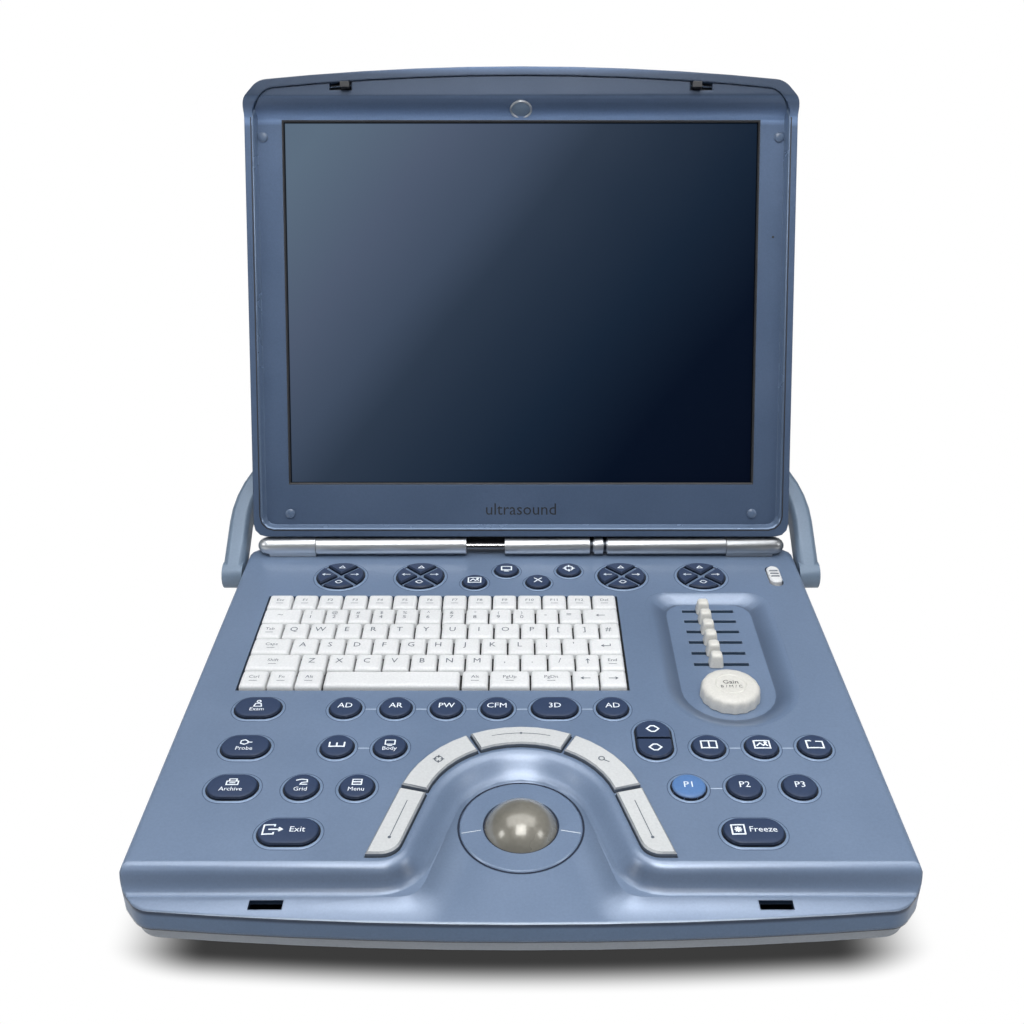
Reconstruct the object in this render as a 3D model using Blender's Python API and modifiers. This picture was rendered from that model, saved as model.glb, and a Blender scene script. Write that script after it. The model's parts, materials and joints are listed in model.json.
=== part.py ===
"""Laptop-style ultrasound scanner: base with control panel, folding lid and carrying handle.

Sizes are in metres. While modelling, y = 0 is the lid's hinge axis, -y is the front,
x = 0 is the middle and z = 0 is the table. The finished part is then centred on its own box.
"""
import math

import bmesh
import bpy
from mathutils import Matrix, Vector

# Clearances
GAP = 0.0003
CAP_GAP = 0.0004
RUN_GAP = 0.0003
STEP_EPS = 0.00005
ABOVE = 0.03

# Walls and heights of the base
WALL = 0.0025
UNDER_GROW = 0.0012
FOOT_HEIGHT = 0.004
SEAM_Z = 0.026
PANEL_Z = 0.046
LEDGE_DROP = 0.009
EDGE_RADIUS = 0.0025
EDGE_SHARE = 0.3
TRAY_SKIRT = 0.007
TRAY_UNDERCUT = 0.016
TRAY_INSET = 0.0010

# Outline of the base
BASE_HALF = 0.1775
BASE_REAR = 0.008
BASE_FRONT = 0.2898
BASE_BULGE = 0.0076
BASE_CHAMFER_X = 0.011
BASE_CHAMFER_Y = 0.013
BASE_CORNER = 0.008
CORNER_BLEND = 0.013
FRONT_STEPS = 10

# Hinge
HINGE_RISE = 0.0062
HINGE_RADIUS = 0.0059
SHAFT_RADIUS = 0.0025
COVER_INNER_LEFT = 0.0355
COVER_INNER_RIGHT = 0.0105
CAP_INSET = 0.0065
CAP_LENGTH = 0.0382
CAP_END = BASE_HALF - CAP_INSET
COVER_END = CAP_END - CAP_LENGTH
CAP_NOSE = 0.0075
CAP_NOSE_STEPS = 5
RING_GROOVES = (0.046, 0.0545)
GROOVE_WIDTH = 0.0028
GROOVE_DEPTH = 0.0012
SHAFT_SOCKET = 0.016
HINGE_SEAT_HALF = 0.0042

# Lid, along its own height (up from the hinge) and depth (towards the user)
LID_LEAN = math.radians(22.5)
LID_SIDE_INSET = 0.005
LID_HALF = BASE_HALF - LID_SIDE_INSET
LID_BOTTOM = 0.0065
LID_OVERHANG = 0.0002
LID_TOP = BASE_FRONT + LID_OVERHANG
LID_BULGE = 0.008
LID_CHAMFER_X = 0.0105
LID_CHAMFER_Y = 0.012
LID_CORNER = 0.008
LID_BACK = 0.013
LID_BACK_ROUND = 0.006
LID_WALL = 0.0022
RIM_FRONT = 0.0054
RIM_WIDTH = 0.005
LAND_FRONT = 0.0135
LAND_HEIGHT = 0.0205
LAND_START = LID_TOP - LAND_HEIGHT
LAND_RUN = 0.0115
BEZEL_SETBACK = 0.0045
BEZEL_LAND_SETBACK = 0.001
BEZEL_THICK = 0.0025
SCREEN_SIDE = 0.0225
SCREEN_HALF = LID_HALF - SCREEN_SIDE
SCREEN_BOTTOM = 0.0400
SCREEN_LAND_GAP = 0.0007
SCREEN_TOP = LAND_START - SCREEN_LAND_GAP
LCD_MARGIN = 0.003
LCD_THICK = 0.0055
HOOK_X = 0.6254 * BASE_HALF
HOOK_INSET = 0.0034
HOOK_UP = LID_TOP - HOOK_INSET
HOOK_SLOT_HALF = 0.0068
HOOK_SLOT_HEIGHT = 0.0050
HOOK_WIDTH = 0.0062
HOOK_LIP = 0.0012
HOOK_THICK = 0.0034
HOOK_REACH = 0.0045
HOOK_PLATE = 0.0016
HOOK_PLATE_OUT = 0.008
HOOK_PLATE_IN = 0.0034
HOOK_PLATE_LOW = 0.0037
HOOK_PLATE_HIGH = 0.0010
HOOK_LIP_HEIGHT = 0.0018
RELEASE_HALF = 0.0058
RELEASE_THICK = 0.0050
RELEASE_PROUD = 0.0006
RELEASE_FLANGE = 0.0016

# Handle, along its own arm from the pivot
HANDLE_LIFT = math.radians(33.0)
PIVOT_Y = -0.0140
PIVOT_DROP = 0.0075
HANDLE_SIDE_GAP = 0.0007
HANDLE_THICK = 0.0135
HANDLE_DEPTH = 0.016
HANDLE_ARM = 0.0363
HANDLE_CORNER = 0.070
HANDLE_EYE = 0.0085
HANDLE_EDGE = 0.0045
HANDLE_SIDES = 16
HANDLE_STEPS = 12
PIN_RADIUS = 0.003
PIN_HEAD_RADIUS = 0.0055
PIN_HEAD = 0.0018
PIN_CLIP = 0.002
PIN_CLIP_RADIUS = 0.0045

# Trackball and the valley it sits in
SLOPE_LEAD = 0.0005
SLOPE_Y = LAND_START + SLOPE_LEAD
BALL_TO_SLOPE = 0.031
BALL_Y = BALL_TO_SLOPE - SLOPE_Y
BALL_RADIUS = 0.019
BALL_RISE = 0.002
BALL_SEGMENTS = 20
BALL_RINGS = 12
RING_RADIUS = 0.029
RING_BORE = 0.0174
RING_RISE = 0.0006
CUP_WALL = 0.003
CUP_FLANGE = 0.003
CUP_FLANGE_THICK = 0.0018
CUP_DEPTH = 0.021
CUP_STEPS = 6
VALLEY_MARGIN = 0.002
VALLEY_RUN = 0.013
VALLEY_CORNER = 0.012
SLOPE_RUN = LAND_RUN
SLOPE_STEPS = 7
ARCH_STEPS = 14
FILLET_STEPS = 5

# Arc keys round the ball
ARC_OUTER = 0.0597
ARC_WIDTH = 0.0132
ARC_INNER = ARC_OUTER - ARC_WIDTH
ARC_LEG_ANGLE = 75.0
ARC_TOP_ANGLE = 26.5
ARC_KEY_GAP = 0.0022
ARC_TIP_INSET = 0.0025
ARC_TIP_Y = ARC_TIP_INSET - SLOPE_Y
ARC_TIP_ROUND = 0.009
ARC_KEY_RISE = 0.0026
ARC_FLANGE = 0.0008
ARC_STEPS_PER_KEY = 6

# Caps that stand out of the panel
CAP_RISE = 0.0020
CAP_BEVEL = 0.0008
CAP_FLANGE = 0.0016
CAP_FLANGE_THICK = 0.0012
CAP_SIDES = 16
MAT_MARGIN = 0.0026
MAT_THICK = 0.0016

# Round and wide keys
ROUND_RADIUS = 0.0084
MENU_RADIUS = 0.0076
WIDE_HALF = 0.0123
FRONT_KEY_HALF = 0.0142

# Rows of keys, measured back from the ball
FRONT_KEY_AHEAD = 0.0140
ROW_LOWER_BACK = 0.0158
ROW_MIDDLE_BACK = 0.0453
LEVEL_BACK = 0.0510
MODE_ARC_GAP = 0.0169
FRONT_KEY_Y = BALL_Y - FRONT_KEY_AHEAD
ROW_LOWER_Y = BALL_Y + ROW_LOWER_BACK
ROW_MIDDLE_Y = BALL_Y + ROW_MIDDLE_BACK
LEVEL_Y = BALL_Y + LEVEL_BACK
ROW_MODE_Y = BALL_Y + ARC_OUTER + MODE_ARC_GAP

# Columns of keys, as shares of the base's half width
KEY_PITCH = 0.1499 * BASE_HALF
WIDE_LEFT_X = -0.7803 * BASE_HALF
MODE_LEFT_X = -0.5211 * BASE_HALF
MODE_WIDE_X = 0.1003 * BASE_HALF
MODE_LAST_X = 0.2721 * BASE_HALF
LEFT_UPPER_X = -0.5206 * BASE_HALF
LEFT_LOWER_NUDGE = 0.00095
LEFT_LOWER_X = (WIDE_LEFT_X + WIDE_HALF - ARC_OUTER - KEY_PITCH) / 2 + LEFT_LOWER_NUDGE
RIGHT_UPPER_X = 0.5313 * BASE_HALF
RIGHT_LOWER_X = 0.4535 * BASE_HALF
LEVEL_X = 0.3797 * BASE_HALF
FRONT_KEY_X = 0.5983 * BASE_HALF
LEVEL_HALF_X = 0.0090
LEVEL_HALF_Y = 0.0146
LEVEL_NOTCH = 0.0016

# Top row of controls
TOP_ROW_Y = -0.0292
PAD_INNER_X = 0.3577 * BASE_HALF
PAD_OUTER_X = 0.6406 * BASE_HALF
PAD_RADIUS = 0.0147
PAD_CARRIER_LIP = 0.0008
PETAL_GAP = 0.0030
PETAL_STEPS = 5
MENU_PITCH = 0.1115 * BASE_HALF
MENU_FIRST_X = -0.1634 * BASE_HALF
MENU_FRONT_Y = -0.0366
MENU_BACK_Y = -0.0225
SWITCH_SIDE = 0.0175
SWITCH_X = BASE_HALF - SWITCH_SIDE
SWITCH_Y = -0.0280
SWITCH_HALF_X = 0.0040
SWITCH_HALF_Y = 0.0095
SWITCH_TRAVEL = 0.0040
SWITCH_GROOVES = 3
SWITCH_GROOVE_PITCH = 0.0032

# Keyboard
KEYS_SIDE = 0.024
KEYS_TO_RECESS = 0.0178
KEYS_TO_MODE_ROW = 0.0169
KEYS_BACK = -0.0525
KEY_ROWS = (
    [1.0] * 14,
    [1.65] + [1.0] * 12 + [1.55],
    [0.95] + [1.0] * 12 + [0.80],
    [1.45] + [1.0] * 11 + [1.25],
    [1.95] + [1.0] * 10 + [0.9, 0.9],
    [1.0, 1.0, 1.0, 5.0, 1.0, 1.5, 1.5, 1.0, 1.0],
)
SPACE_ROW = 5
SPACE_COLUMN = 3
KEY_SPACING = 0.0008
KEY_TAPER = 0.0013
KEY_RISE = 0.0022
KEY_TRAVEL = 0.0020
KEY_SHEET = 0.0010
KEY_SHEET_DROP = 0.0005
KEY_SHEET_LAP = 0.0015
KEY_OPENING_GAP = 0.0008
SPACE_ROOF = 0.0012
SPACE_EASE = 0.0004
SPACE_POST_X = 0.012
SPACE_POST_Y = 0.002
KEYBOARD_FLOOR = 0.0012
KEYBOARD_RIM = 0.0020

# Gain sliders and gain knob in their recess
RECESS_SIDE = 0.0642
RECESS_X = BASE_HALF - RECESS_SIDE
RECESS_HALF = 0.0375
RECESS_TOP_Y = -0.0478
RECESS_ROUND_BACK = 0.0532
RECESS_ROUND_Y = ROW_MIDDLE_Y + RECESS_ROUND_BACK
RECESS_DEPTH = 0.0045
RECESS_RUN = 0.0125
RECESS_TOP_RUN = 0.0074
RECESS_CORNER = 0.012
SLIDER_COUNT = 6
KNOB_AHEAD = 0.0047
KNOB_Y = RECESS_ROUND_Y - KNOB_AHEAD
SLIDER_TOP_MARGIN = 0.0141
SLIDER_KNOB_MARGIN = 0.0290
SLIDER_FIRST_Y = RECESS_TOP_Y - SLIDER_TOP_MARGIN
SLIDER_LAST_Y = KNOB_Y + SLIDER_KNOB_MARGIN
SLIDER_PITCH = (SLIDER_FIRST_Y - SLIDER_LAST_Y) / (SLIDER_COUNT - 1)
SLOT_HALF = 0.0155
SLOT_WIDTH = 0.258 * SLIDER_PITCH
SLIDER_REST = -0.0032
SLIDER_STEM_HALF = 0.203 * SLIDER_PITCH
SLIDER_BASE_HALF = 0.368 * SLIDER_PITCH
SLIDER_TOP_HALF = 0.267 * SLIDER_PITCH
SLIDER_RISE = 0.0034
SLIDER_SHOE_HALF_Y = 0.276 * SLIDER_PITCH
SLIDER_SHOE = 0.0012
SLIDER_BOARD_THICK = 0.0016
SLIDER_BOARD_MARGIN = 0.004
KNOB_RADIUS = 0.0163
KNOB_RISE = 0.0036
KNOB_LOBES = 16
KNOB_LOBE_STEPS = 3
KNOB_SCALLOP = 0.0009
KNOB_BEVEL = 0.0020
KNOB_DOME = 0.0007
KNOB_CROWN = 0.55
KNOB_TAPER = 0.0005
KNOB_SHAFT = 0.003
KNOB_SHAFT_LENGTH = 0.010
ENCODER_HALF = 0.0075
ENCODER_HEIGHT = 0.007

# Latch slots in the ledge
LATCH_SLOT_HALF = 0.0074
LATCH_SLOT_DEPTH = 0.0052

# Pieces inside, on the sides and at the back
BOSS_RADIUS = 0.004
BOSS_HEIGHT = 0.005
BOSS_INSET = 0.008
BOARD_THICK = 0.0016
CHIP_HEIGHT = 0.004
BATTERY_INSET_Y = 0.0678
BATTERY_X = -0.5634 * BASE_HALF
BATTERY_Y = BATTERY_INSET_Y - BASE_FRONT
BATTERY_HALF_X = 0.3099 * BASE_HALF
BATTERY_HALF_Y = 0.035
BATTERY_HEIGHT = 0.018
BATTERY_ROUND = 0.006
DRIVE_X = 0.5352 * BASE_HALF
DRIVE_Y = BATTERY_Y
DRIVE_HALF_X = 0.2817 * BASE_HALF
DRIVE_HALF_Y = 0.035
DRIVE_HEIGHT = 0.0095
DRIVE_BEVEL = 0.002
FAN_SIDE = 0.0595
FAN_X = FAN_SIDE - BASE_HALF
FAN_Y = -0.050
FAN_HALF = 0.032
FAN_HEIGHT = 0.015
FAN_BORE = 0.027
FAN_WALL = 0.0015
FAN_HUB = 0.011
FAN_BLADES = 9
FAN_SWEEP = 0.15
FAN_TIP_GAP = 0.002
FAN_AXLE = 0.002
FAN_OUTLET_HALF = 0.020
BOARD_FAN_GAP = 0.011
BOARD_LEFT = FAN_X + FAN_HALF + BOARD_FAN_GAP
BOARD_SIDE = 0.0375
BOARD_RIGHT = BASE_HALF - BOARD_SIDE
BOARD_BACK = -0.030
BOARD_BATTERY_GAP = 0.022
BOARD_FRONT = BATTERY_Y + BATTERY_HALF_Y + BOARD_BATTERY_GAP
BOARD_CHIPS = ((0.16, 0.70, 0.016), (0.49, 0.48, 0.020), (0.79, 0.67, 0.014))
PROBE_Y = -0.120
PROBE_HALF_Y = 0.030
PROBE_HALF_Z = 0.0075
PROBE_DEPTH = 0.020
PROBE_POCKET = 0.012
PROBE_RIM = 0.003
IO_HALF_X = 0.052
IO_HALF_Z = 0.0068
IO_DEPTH = 0.012
IO_POCKET = 0.008
IO_SOCKETS = (
    (-0.040, 0.0055, 0.0045),
    (-0.020, 0.0065, 0.0040),
    (0.003, 0.0080, 0.0050),
    (0.032, 0.0120, 0.0045),
)
VENT_COUNT = 7
VENT_X = FAN_X
VENT_PITCH = 0.0055
VENT_HALF = 0.0013
SIDE_PORT_Z = 0.0345
FOOT_RADIUS = 0.009
FOOT_FLARE = 0.0015
FOOT_SIDE = 0.0425
FOOT_X = BASE_HALF - FOOT_SIDE
FOOT_REAR_Y = -0.030
FOOT_FRONT_INSET = 0.0448
FOOT_FRONT_Y = FOOT_FRONT_INSET - BASE_FRONT
TURN_STEPS = 16
SMOOTH_ANGLE = 0.4

# Places that follow from the sizes above
LEDGE_Z = PANEL_Z - LEDGE_DROP
UNDER_Z = PANEL_Z - WALL
FLOOR_Z = FOOT_HEIGHT + WALL
HINGE_Z = PANEL_Z + HINGE_RISE
BEZEL_FRONT = RIM_FRONT - BEZEL_SETBACK
BEZEL_LAND = LAND_FRONT - BEZEL_LAND_SETBACK
PIVOT_Z = PANEL_Z - PIVOT_DROP
BALL_Z = PANEL_Z + BALL_RISE - BALL_RADIUS
RECESS_Z = PANEL_Z - RECESS_DEPTH
RECESS_UNDER = RECESS_Z - WALL
KEYS_LEFT = KEYS_SIDE - BASE_HALF
KEYS_RIGHT = RECESS_X - RECESS_HALF - KEYS_TO_RECESS
KEYS_FRONT = ROW_MODE_Y + KEYS_TO_MODE_ROW
ROW_PITCH = (KEYS_BACK - KEYS_FRONT) / len(KEY_ROWS)
KEYS_X = (KEYS_LEFT + KEYS_RIGHT) / 2
KEYS_Y = (KEYS_BACK + KEYS_FRONT) / 2
KEYS_HALF_X = (KEYS_RIGHT - KEYS_LEFT) / 2
KEYS_HALF_Y = (KEYS_BACK - KEYS_FRONT) / 2
MAT_TOP = -WALL - GAP
MAT_LOW = MAT_TOP - MAT_THICK
HANDLE_INNER = BASE_HALF + HANDLE_SIDE_GAP
HANDLE_MID = HANDLE_INNER + HANDLE_THICK / 2


def clear_scene():
    for item in list(bpy.data.objects):
        bpy.data.objects.remove(item)


def new_collection(name):
    group = bpy.data.collections.new(name)
    bpy.context.scene.collection.children.link(group)
    return group


def new_material(name, colour, roughness, metallic=0.0):
    finish = bpy.data.materials.new(name)
    finish.use_nodes = True
    shader = finish.node_tree.nodes["Principled BSDF"]
    shader.inputs["Base Color"].default_value = (*colour, 1.0)
    shader.inputs["Roughness"].default_value = roughness
    shader.inputs["Metallic"].default_value = metallic
    return finish


clear_scene()
PARTS = new_collection("ultrasound_scanner")
CUTTERS = new_collection("cutters")
PANEL_BLUE = new_material("panel_blue", (0.17, 0.26, 0.46), 0.35, 0.2)
LID_BLUE = new_material("lid_blue", (0.10, 0.15, 0.26), 0.35, 0.2)
TRAY_GREY = new_material("tray_grey", (0.42, 0.44, 0.46), 0.5)
KEY_NAVY = new_material("key_navy", (0.045, 0.07, 0.14), 0.4)
KEY_WHITE = new_material("key_white", (0.82, 0.85, 0.87), 0.45)
BALL_PEARL = new_material("ball_pearl", (0.34, 0.32, 0.27), 0.2)
HANDLE_BLUE = new_material("handle_blue", (0.22, 0.30, 0.43), 0.4)
HINGE_SILVER = new_material("hinge_silver", (0.62, 0.64, 0.66), 0.28, 1.0)
STEEL = new_material("steel", (0.60, 0.60, 0.60), 0.2, 1.0)
DARK_PLASTIC = new_material("dark_plastic", (0.03, 0.03, 0.035), 0.5)
RUBBER = new_material("rubber", (0.02, 0.02, 0.02), 0.8)
SCREEN_GLASS = new_material("screen_glass", (0.01, 0.014, 0.025), 0.08)
BOARD_GREEN = new_material("board_green", (0.02, 0.14, 0.06), 0.5)


def new_empty(name, location, parent=None, tilt=0.0):
    empty = bpy.data.objects.new(name, None)
    PARTS.objects.link(empty)
    empty.location = location
    empty.rotation_euler = (tilt, 0.0, 0.0)
    empty.parent = parent
    return empty


def smoothstep(t):
    return t * t * (3 - 2 * t)


def ring(outline, z):
    return [(x, y, z) for x, y in outline]


def rounded(cx, cy, half_x, half_y, radius, sides=CAP_SIDES):
    """Rounded rectangle, stadium or circle, depending on the radius."""
    radius = min(radius, half_x, half_y)
    points = []
    for index in range(sides):
        angle = (index + 0.5) * 2 * math.pi / sides
        side_x = math.copysign(half_x - radius, math.cos(angle))
        side_y = math.copysign(half_y - radius, math.sin(angle))
        x = cx + side_x + radius * math.cos(angle)
        y = cy + side_y + radius * math.sin(angle)
        points.append((x, y))
    return points


def rectangle(cx, cy, half_x, half_y):
    return [(cx - half_x, cy - half_y), (cx + half_x, cy - half_y),
            (cx + half_x, cy + half_y), (cx - half_x, cy + half_y)]


def case_outline(half, rear, front, bulge, chamfer_x, chamfer_y, corner, inset):
    """Case outline with round rear corners, softened front chamfers and a bowed front edge."""
    points = []
    for centre_x, start in ((corner - half, 180), (half - corner, 270)):
        for step in range(4):
            angle = math.radians(start + 30 * step)
            points.append((centre_x + corner * math.cos(angle),
                           rear + corner + corner * math.sin(angle)))
    run = [(half, rear), (half, front - chamfer_y)]
    for step in range(FRONT_STEPS + 1):
        share = 1 - 2 * step / FRONT_STEPS
        run.append(((half - chamfer_x) * share, front + bulge * (1 - share * share)))
    run += [(-half, front - chamfer_y), (-half, rear)]
    chamfer_ends = (1, 2, len(run) - 3, len(run) - 2)
    for index in range(1, len(run) - 1):
        if index in chamfer_ends:
            points += fillet(run[index - 1], run[index], run[index + 1], CORNER_BLEND)
        else:
            points.append(run[index])
    middle = (rear + front + bulge) / 2
    reach = (front + bulge - rear) / 2
    return [(x * (half - inset) / half, middle + (y - middle) * (reach - inset) / reach)
            for x, y in points]


def base_outline(inset):
    outline = case_outline(BASE_HALF, -BASE_REAR, BASE_FRONT, BASE_BULGE,
                           BASE_CHAMFER_X, BASE_CHAMFER_Y, BASE_CORNER, inset)
    return [(x, -y) for x, y in outline]


def lid_outline(inset):
    return case_outline(LID_HALF, LID_BOTTOM, LID_TOP, LID_BULGE,
                        LID_CHAMFER_X, LID_CHAMFER_Y, LID_CORNER, inset)


def loft(rings):
    """Closed body through rings of equal length, for a shape whose sections differ."""
    def build(bm):
        loops = []
        for points in rings:
            loops.append([bm.verts.new(point) for point in points])
        faces = [bm.faces.new(loops[0]), bm.faces.new(loops[-1])]
        count = len(loops[0])
        for lower, upper in zip(loops, loops[1:]):
            for index in range(count):
                after = (index + 1) % count
                faces.append(bm.faces.new((lower[index], lower[after], upper[after], upper[index])))
        bmesh.ops.recalc_face_normals(bm, faces=faces)
    return build


def prism(outline, low, high):
    """Upright body: a flat face with the outline, extruded."""
    def build(bm):
        face = bm.faces.new([bm.verts.new((x, y, low)) for x, y in outline])
        raised = bmesh.ops.extrude_face_region(bm, geom=[face])["geom"]
        corners = [item for item in raised if isinstance(item, bmesh.types.BMVert)]
        bmesh.ops.translate(bm, verts=corners, vec=(0.0, 0.0, high - low))
        bmesh.ops.recalc_face_normals(bm, faces=bm.faces[:])
    return build


def block(x0, x1, y0, y1, z0, z1):
    """Box between two corners."""
    def build(bm):
        middle = Matrix.Translation(((x0 + x1) / 2, (y0 + y1) / 2, (z0 + z1) / 2))
        size = Matrix.Diagonal((abs(x1 - x0), abs(y1 - y0), abs(z1 - z0), 1.0))
        bmesh.ops.create_cube(bm, size=1.0, matrix=middle @ size)
    return build


def rod_x(x0, x1, y, z, radius):
    """Cylinder that runs along x."""
    def build(bm):
        middle = Matrix.Translation(((x0 + x1) / 2, y, z))
        turn = Matrix.Rotation(math.pi / 2, 4, "Y")
        bmesh.ops.create_cone(bm, cap_ends=True, segments=TURN_STEPS, radius1=radius, radius2=radius,
                              depth=abs(x1 - x0), matrix=middle @ turn)
    return build


def rod_z(x, y, radius, low, high):
    """Cylinder that stands upright."""
    def build(bm):
        middle = Matrix.Translation((x, y, (low + high) / 2))
        bmesh.ops.create_cone(bm, cap_ends=True, segments=TURN_STEPS, radius1=radius, radius2=radius,
                              depth=high - low, matrix=middle)
    return build


def make_object(name, bm, group, parent, location, smooth=SMOOTH_ANGLE):
    mesh = bpy.data.meshes.new(name)
    bm.to_mesh(mesh)
    bm.free()
    mesh.shade_smooth()
    mesh.set_sharp_from_angle(angle=smooth)
    item = bpy.data.objects.new(name, mesh)
    group.objects.link(item)
    item.location = location
    item.parent = parent
    return item


def solid(name, body, finish, parent, location=(0, 0, 0)):
    bm = bmesh.new()
    body(bm)
    item = make_object(name, bm, PARTS, parent, location)
    item.data.materials.append(finish)
    return item


def tool(name, bodies, parent, location=(0, 0, 0)):
    """Cutter or addition: one or more closed bodies that don't meet."""
    bm = bmesh.new()
    for body in bodies:
        body(bm)
    item = make_object(name, bm, CUTTERS, parent, location)
    item.hide_render = True
    item.display_type = "WIRE"
    return item


def combine(target, other, operation="DIFFERENCE"):
    modifier = target.modifiers.new(other.name, "BOOLEAN")
    modifier.operation = operation
    modifier.object = other
    modifier.solver = "EXACT"


def turned(name, profile, finish, parent, location, closed=False, along_x=False):
    """Body turned about its own z axis, or about x, from an outer profile run top to bottom."""
    bm = bmesh.new()
    points = [bm.verts.new((radius, 0.0, height)) for radius, height in profile]
    for first, second in zip(points, points[1:]):
        bm.edges.new((first, second))
    if closed:
        bm.edges.new((points[-1], points[0]))
    item = make_object(name, bm, PARTS, parent, location)
    item.data.materials.append(finish)
    screw = item.modifiers.new("turn", "SCREW")
    screw.steps = TURN_STEPS
    screw.render_steps = TURN_STEPS
    screw.use_merge_vertices = True
    screw.merge_threshold = 0.00001
    screw.use_smooth_shade = True
    if along_x:
        item.rotation_euler = (0.0, math.pi / 2, 0.0)
    return item


def box_x(x0, x1, y, half_y, z, half_z):
    return block(x0, x1, y - half_y, y + half_y, z - half_z, z + half_z)


def box_y(y0, y1, x, half_x, z, half_z):
    return block(x - half_x, x + half_x, y0, y1, z - half_z, z + half_z)


def fillet(before, corner, after, radius):
    """Arc points that round the corner between two straight runs."""
    corner = Vector(corner)
    first = (Vector(before) - corner).normalized()
    second = (Vector(after) - corner).normalized()
    half_angle = first.angle(second) / 2
    reach = radius / math.tan(half_angle)
    centre = corner + (first + second).normalized() * radius / math.sin(half_angle)
    start = corner + first * reach - centre
    sweep = start.angle_signed(corner + second * reach - centre)
    points = []
    for step in range(FILLET_STEPS + 1):
        angle = -sweep * step / FILLET_STEPS
        x = start.x * math.cos(angle) - start.y * math.sin(angle)
        y = start.x * math.sin(angle) + start.y * math.cos(angle)
        points.append((centre.x + x, centre.y + y))
    return points


def leg_point(radius, along):
    """Point on the left leg of the horseshoe: a tangent that leaves the arc at its leg angle."""
    angle = math.radians(ARC_LEG_ANGLE)
    x = -radius * math.sin(angle) - along * math.cos(angle)
    y = BALL_Y + radius * math.cos(angle) - along * math.sin(angle)
    return (x, y)


def leg_at(radius, y):
    start = leg_point(radius, 0.0)
    return leg_point(radius, (start[1] - y) / math.sin(math.radians(ARC_LEG_ANGLE)))


def valley_path(grow):
    """Upper edge of the front slope, round the trackball and back, from left to right."""
    radius = ARC_INNER - VALLEY_MARGIN + grow
    front_y = -SLOPE_Y + grow
    far = (-BASE_HALF - ABOVE, front_y)
    corner = leg_at(radius, front_y)
    left = [far] + fillet(far, corner, leg_point(radius, 0.0), VALLEY_CORNER)
    right = [(-x, y) for x, y in reversed(left)]
    arch = []
    for step in range(ARCH_STEPS + 1):
        angle = math.radians(ARC_LEG_ANGLE * (2 * step / ARCH_STEPS - 1))
        arch.append((radius * math.sin(angle), BALL_Y + radius * math.cos(angle)))
    return left + arch + right


def valley_rings(grow, lower):
    path = valley_path(grow)
    count = len(path)
    arch_y = leg_point(ARC_INNER - VALLEY_MARGIN + grow, 0.0)[1]
    normals = []
    for index in range(count):
        before = Vector(path[max(index - 1, 0)])
        after = Vector(path[min(index + 1, count - 1)])
        along = (after - before).normalized()
        normals.append((along.y, -along.x))

    def offset(share):
        points = []
        for (x, y), (normal_x, normal_y) in zip(path, normals):
            climb = min(max((y + SLOPE_Y - grow) / (arch_y + SLOPE_Y - grow), 0.0), 1.0)
            run = (SLOPE_RUN + (VALLEY_RUN - SLOPE_RUN) * smoothstep(climb)) * share
            points.append((x + normal_x * run, y + normal_y * run))
        front = -BASE_FRONT - BASE_BULGE - ABOVE
        return points + [(-path[0][0], front), (path[0][0], front)]

    rings = [ring(offset(0.0), PANEL_Z + ABOVE)]
    for step in range(SLOPE_STEPS + 1):
        share = step / SLOPE_STEPS
        rings.append(ring(offset(share), PANEL_Z - STEP_EPS - lower - LEDGE_DROP * smoothstep(share)))
    return rings


def recess_outline(inset, grow):
    """Scoop with a straight top, round upper corners and a half-round lower end."""
    half = RECESS_HALF - inset + grow
    top = RECESS_TOP_Y - inset * RECESS_TOP_RUN / RECESS_RUN + grow
    corner = RECESS_CORNER
    points = []
    for centre_x, start in ((half - corner, 0), (corner - half, 90)):
        for step in range(FILLET_STEPS):
            angle = math.radians(start + 90 * step / (FILLET_STEPS - 1))
            points.append((RECESS_X + centre_x + corner * math.cos(angle),
                           top - corner + corner * math.sin(angle)))
    for step in range(ARCH_STEPS + 1):
        angle = math.pi + math.pi * step / ARCH_STEPS
        points.append((RECESS_X + half * math.cos(angle), RECESS_ROUND_Y + half * math.sin(angle)))
    return points


def recess_rings(grow, lower):
    rings = [ring(recess_outline(0.0, grow), PANEL_Z + ABOVE)]
    for step in range(SLOPE_STEPS + 1):
        share = step / SLOPE_STEPS
        z = PANEL_Z - STEP_EPS - lower - RECESS_DEPTH * smoothstep(share)
        rings.append(ring(recess_outline(RECESS_RUN * share, grow), z))
    return rings


def arc_outline(start, end, spread):
    """Arc key between two angles from the middle line, in degrees."""
    first = math.radians(start) - spread / ARC_OUTER
    last = math.radians(end) + spread / ARC_OUTER
    inside = ARC_INNER - min(spread, CAP_GAP)
    points = []
    for radius, way in ((ARC_OUTER + spread, 1), (inside, -1)):
        for step in range(ARC_STEPS_PER_KEY + 1)[::way]:
            angle = first + (last - first) * step / ARC_STEPS_PER_KEY
            points.append((radius * math.sin(angle), BALL_Y + radius * math.cos(angle)))
    return points


def leg_outline(side, spread):
    """Lower arc key on one side, with its rounded inner corner at the front."""
    outer = ARC_OUTER + spread
    inner = ARC_INNER - min(spread, CAP_GAP)
    lead = ARC_KEY_GAP / 2 - spread
    tip = ARC_TIP_Y - min(spread, CAP_GAP)
    low_outer = leg_at(outer, tip)
    low_inner = leg_at(inner, tip)
    rounding = fillet(leg_point(inner, lead), low_inner, low_outer, ARC_TIP_ROUND)
    points = [leg_point(outer, lead), leg_point(inner, lead)] + rounding + [low_outer]
    return [(side * -x, y) for x, y in points]


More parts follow.
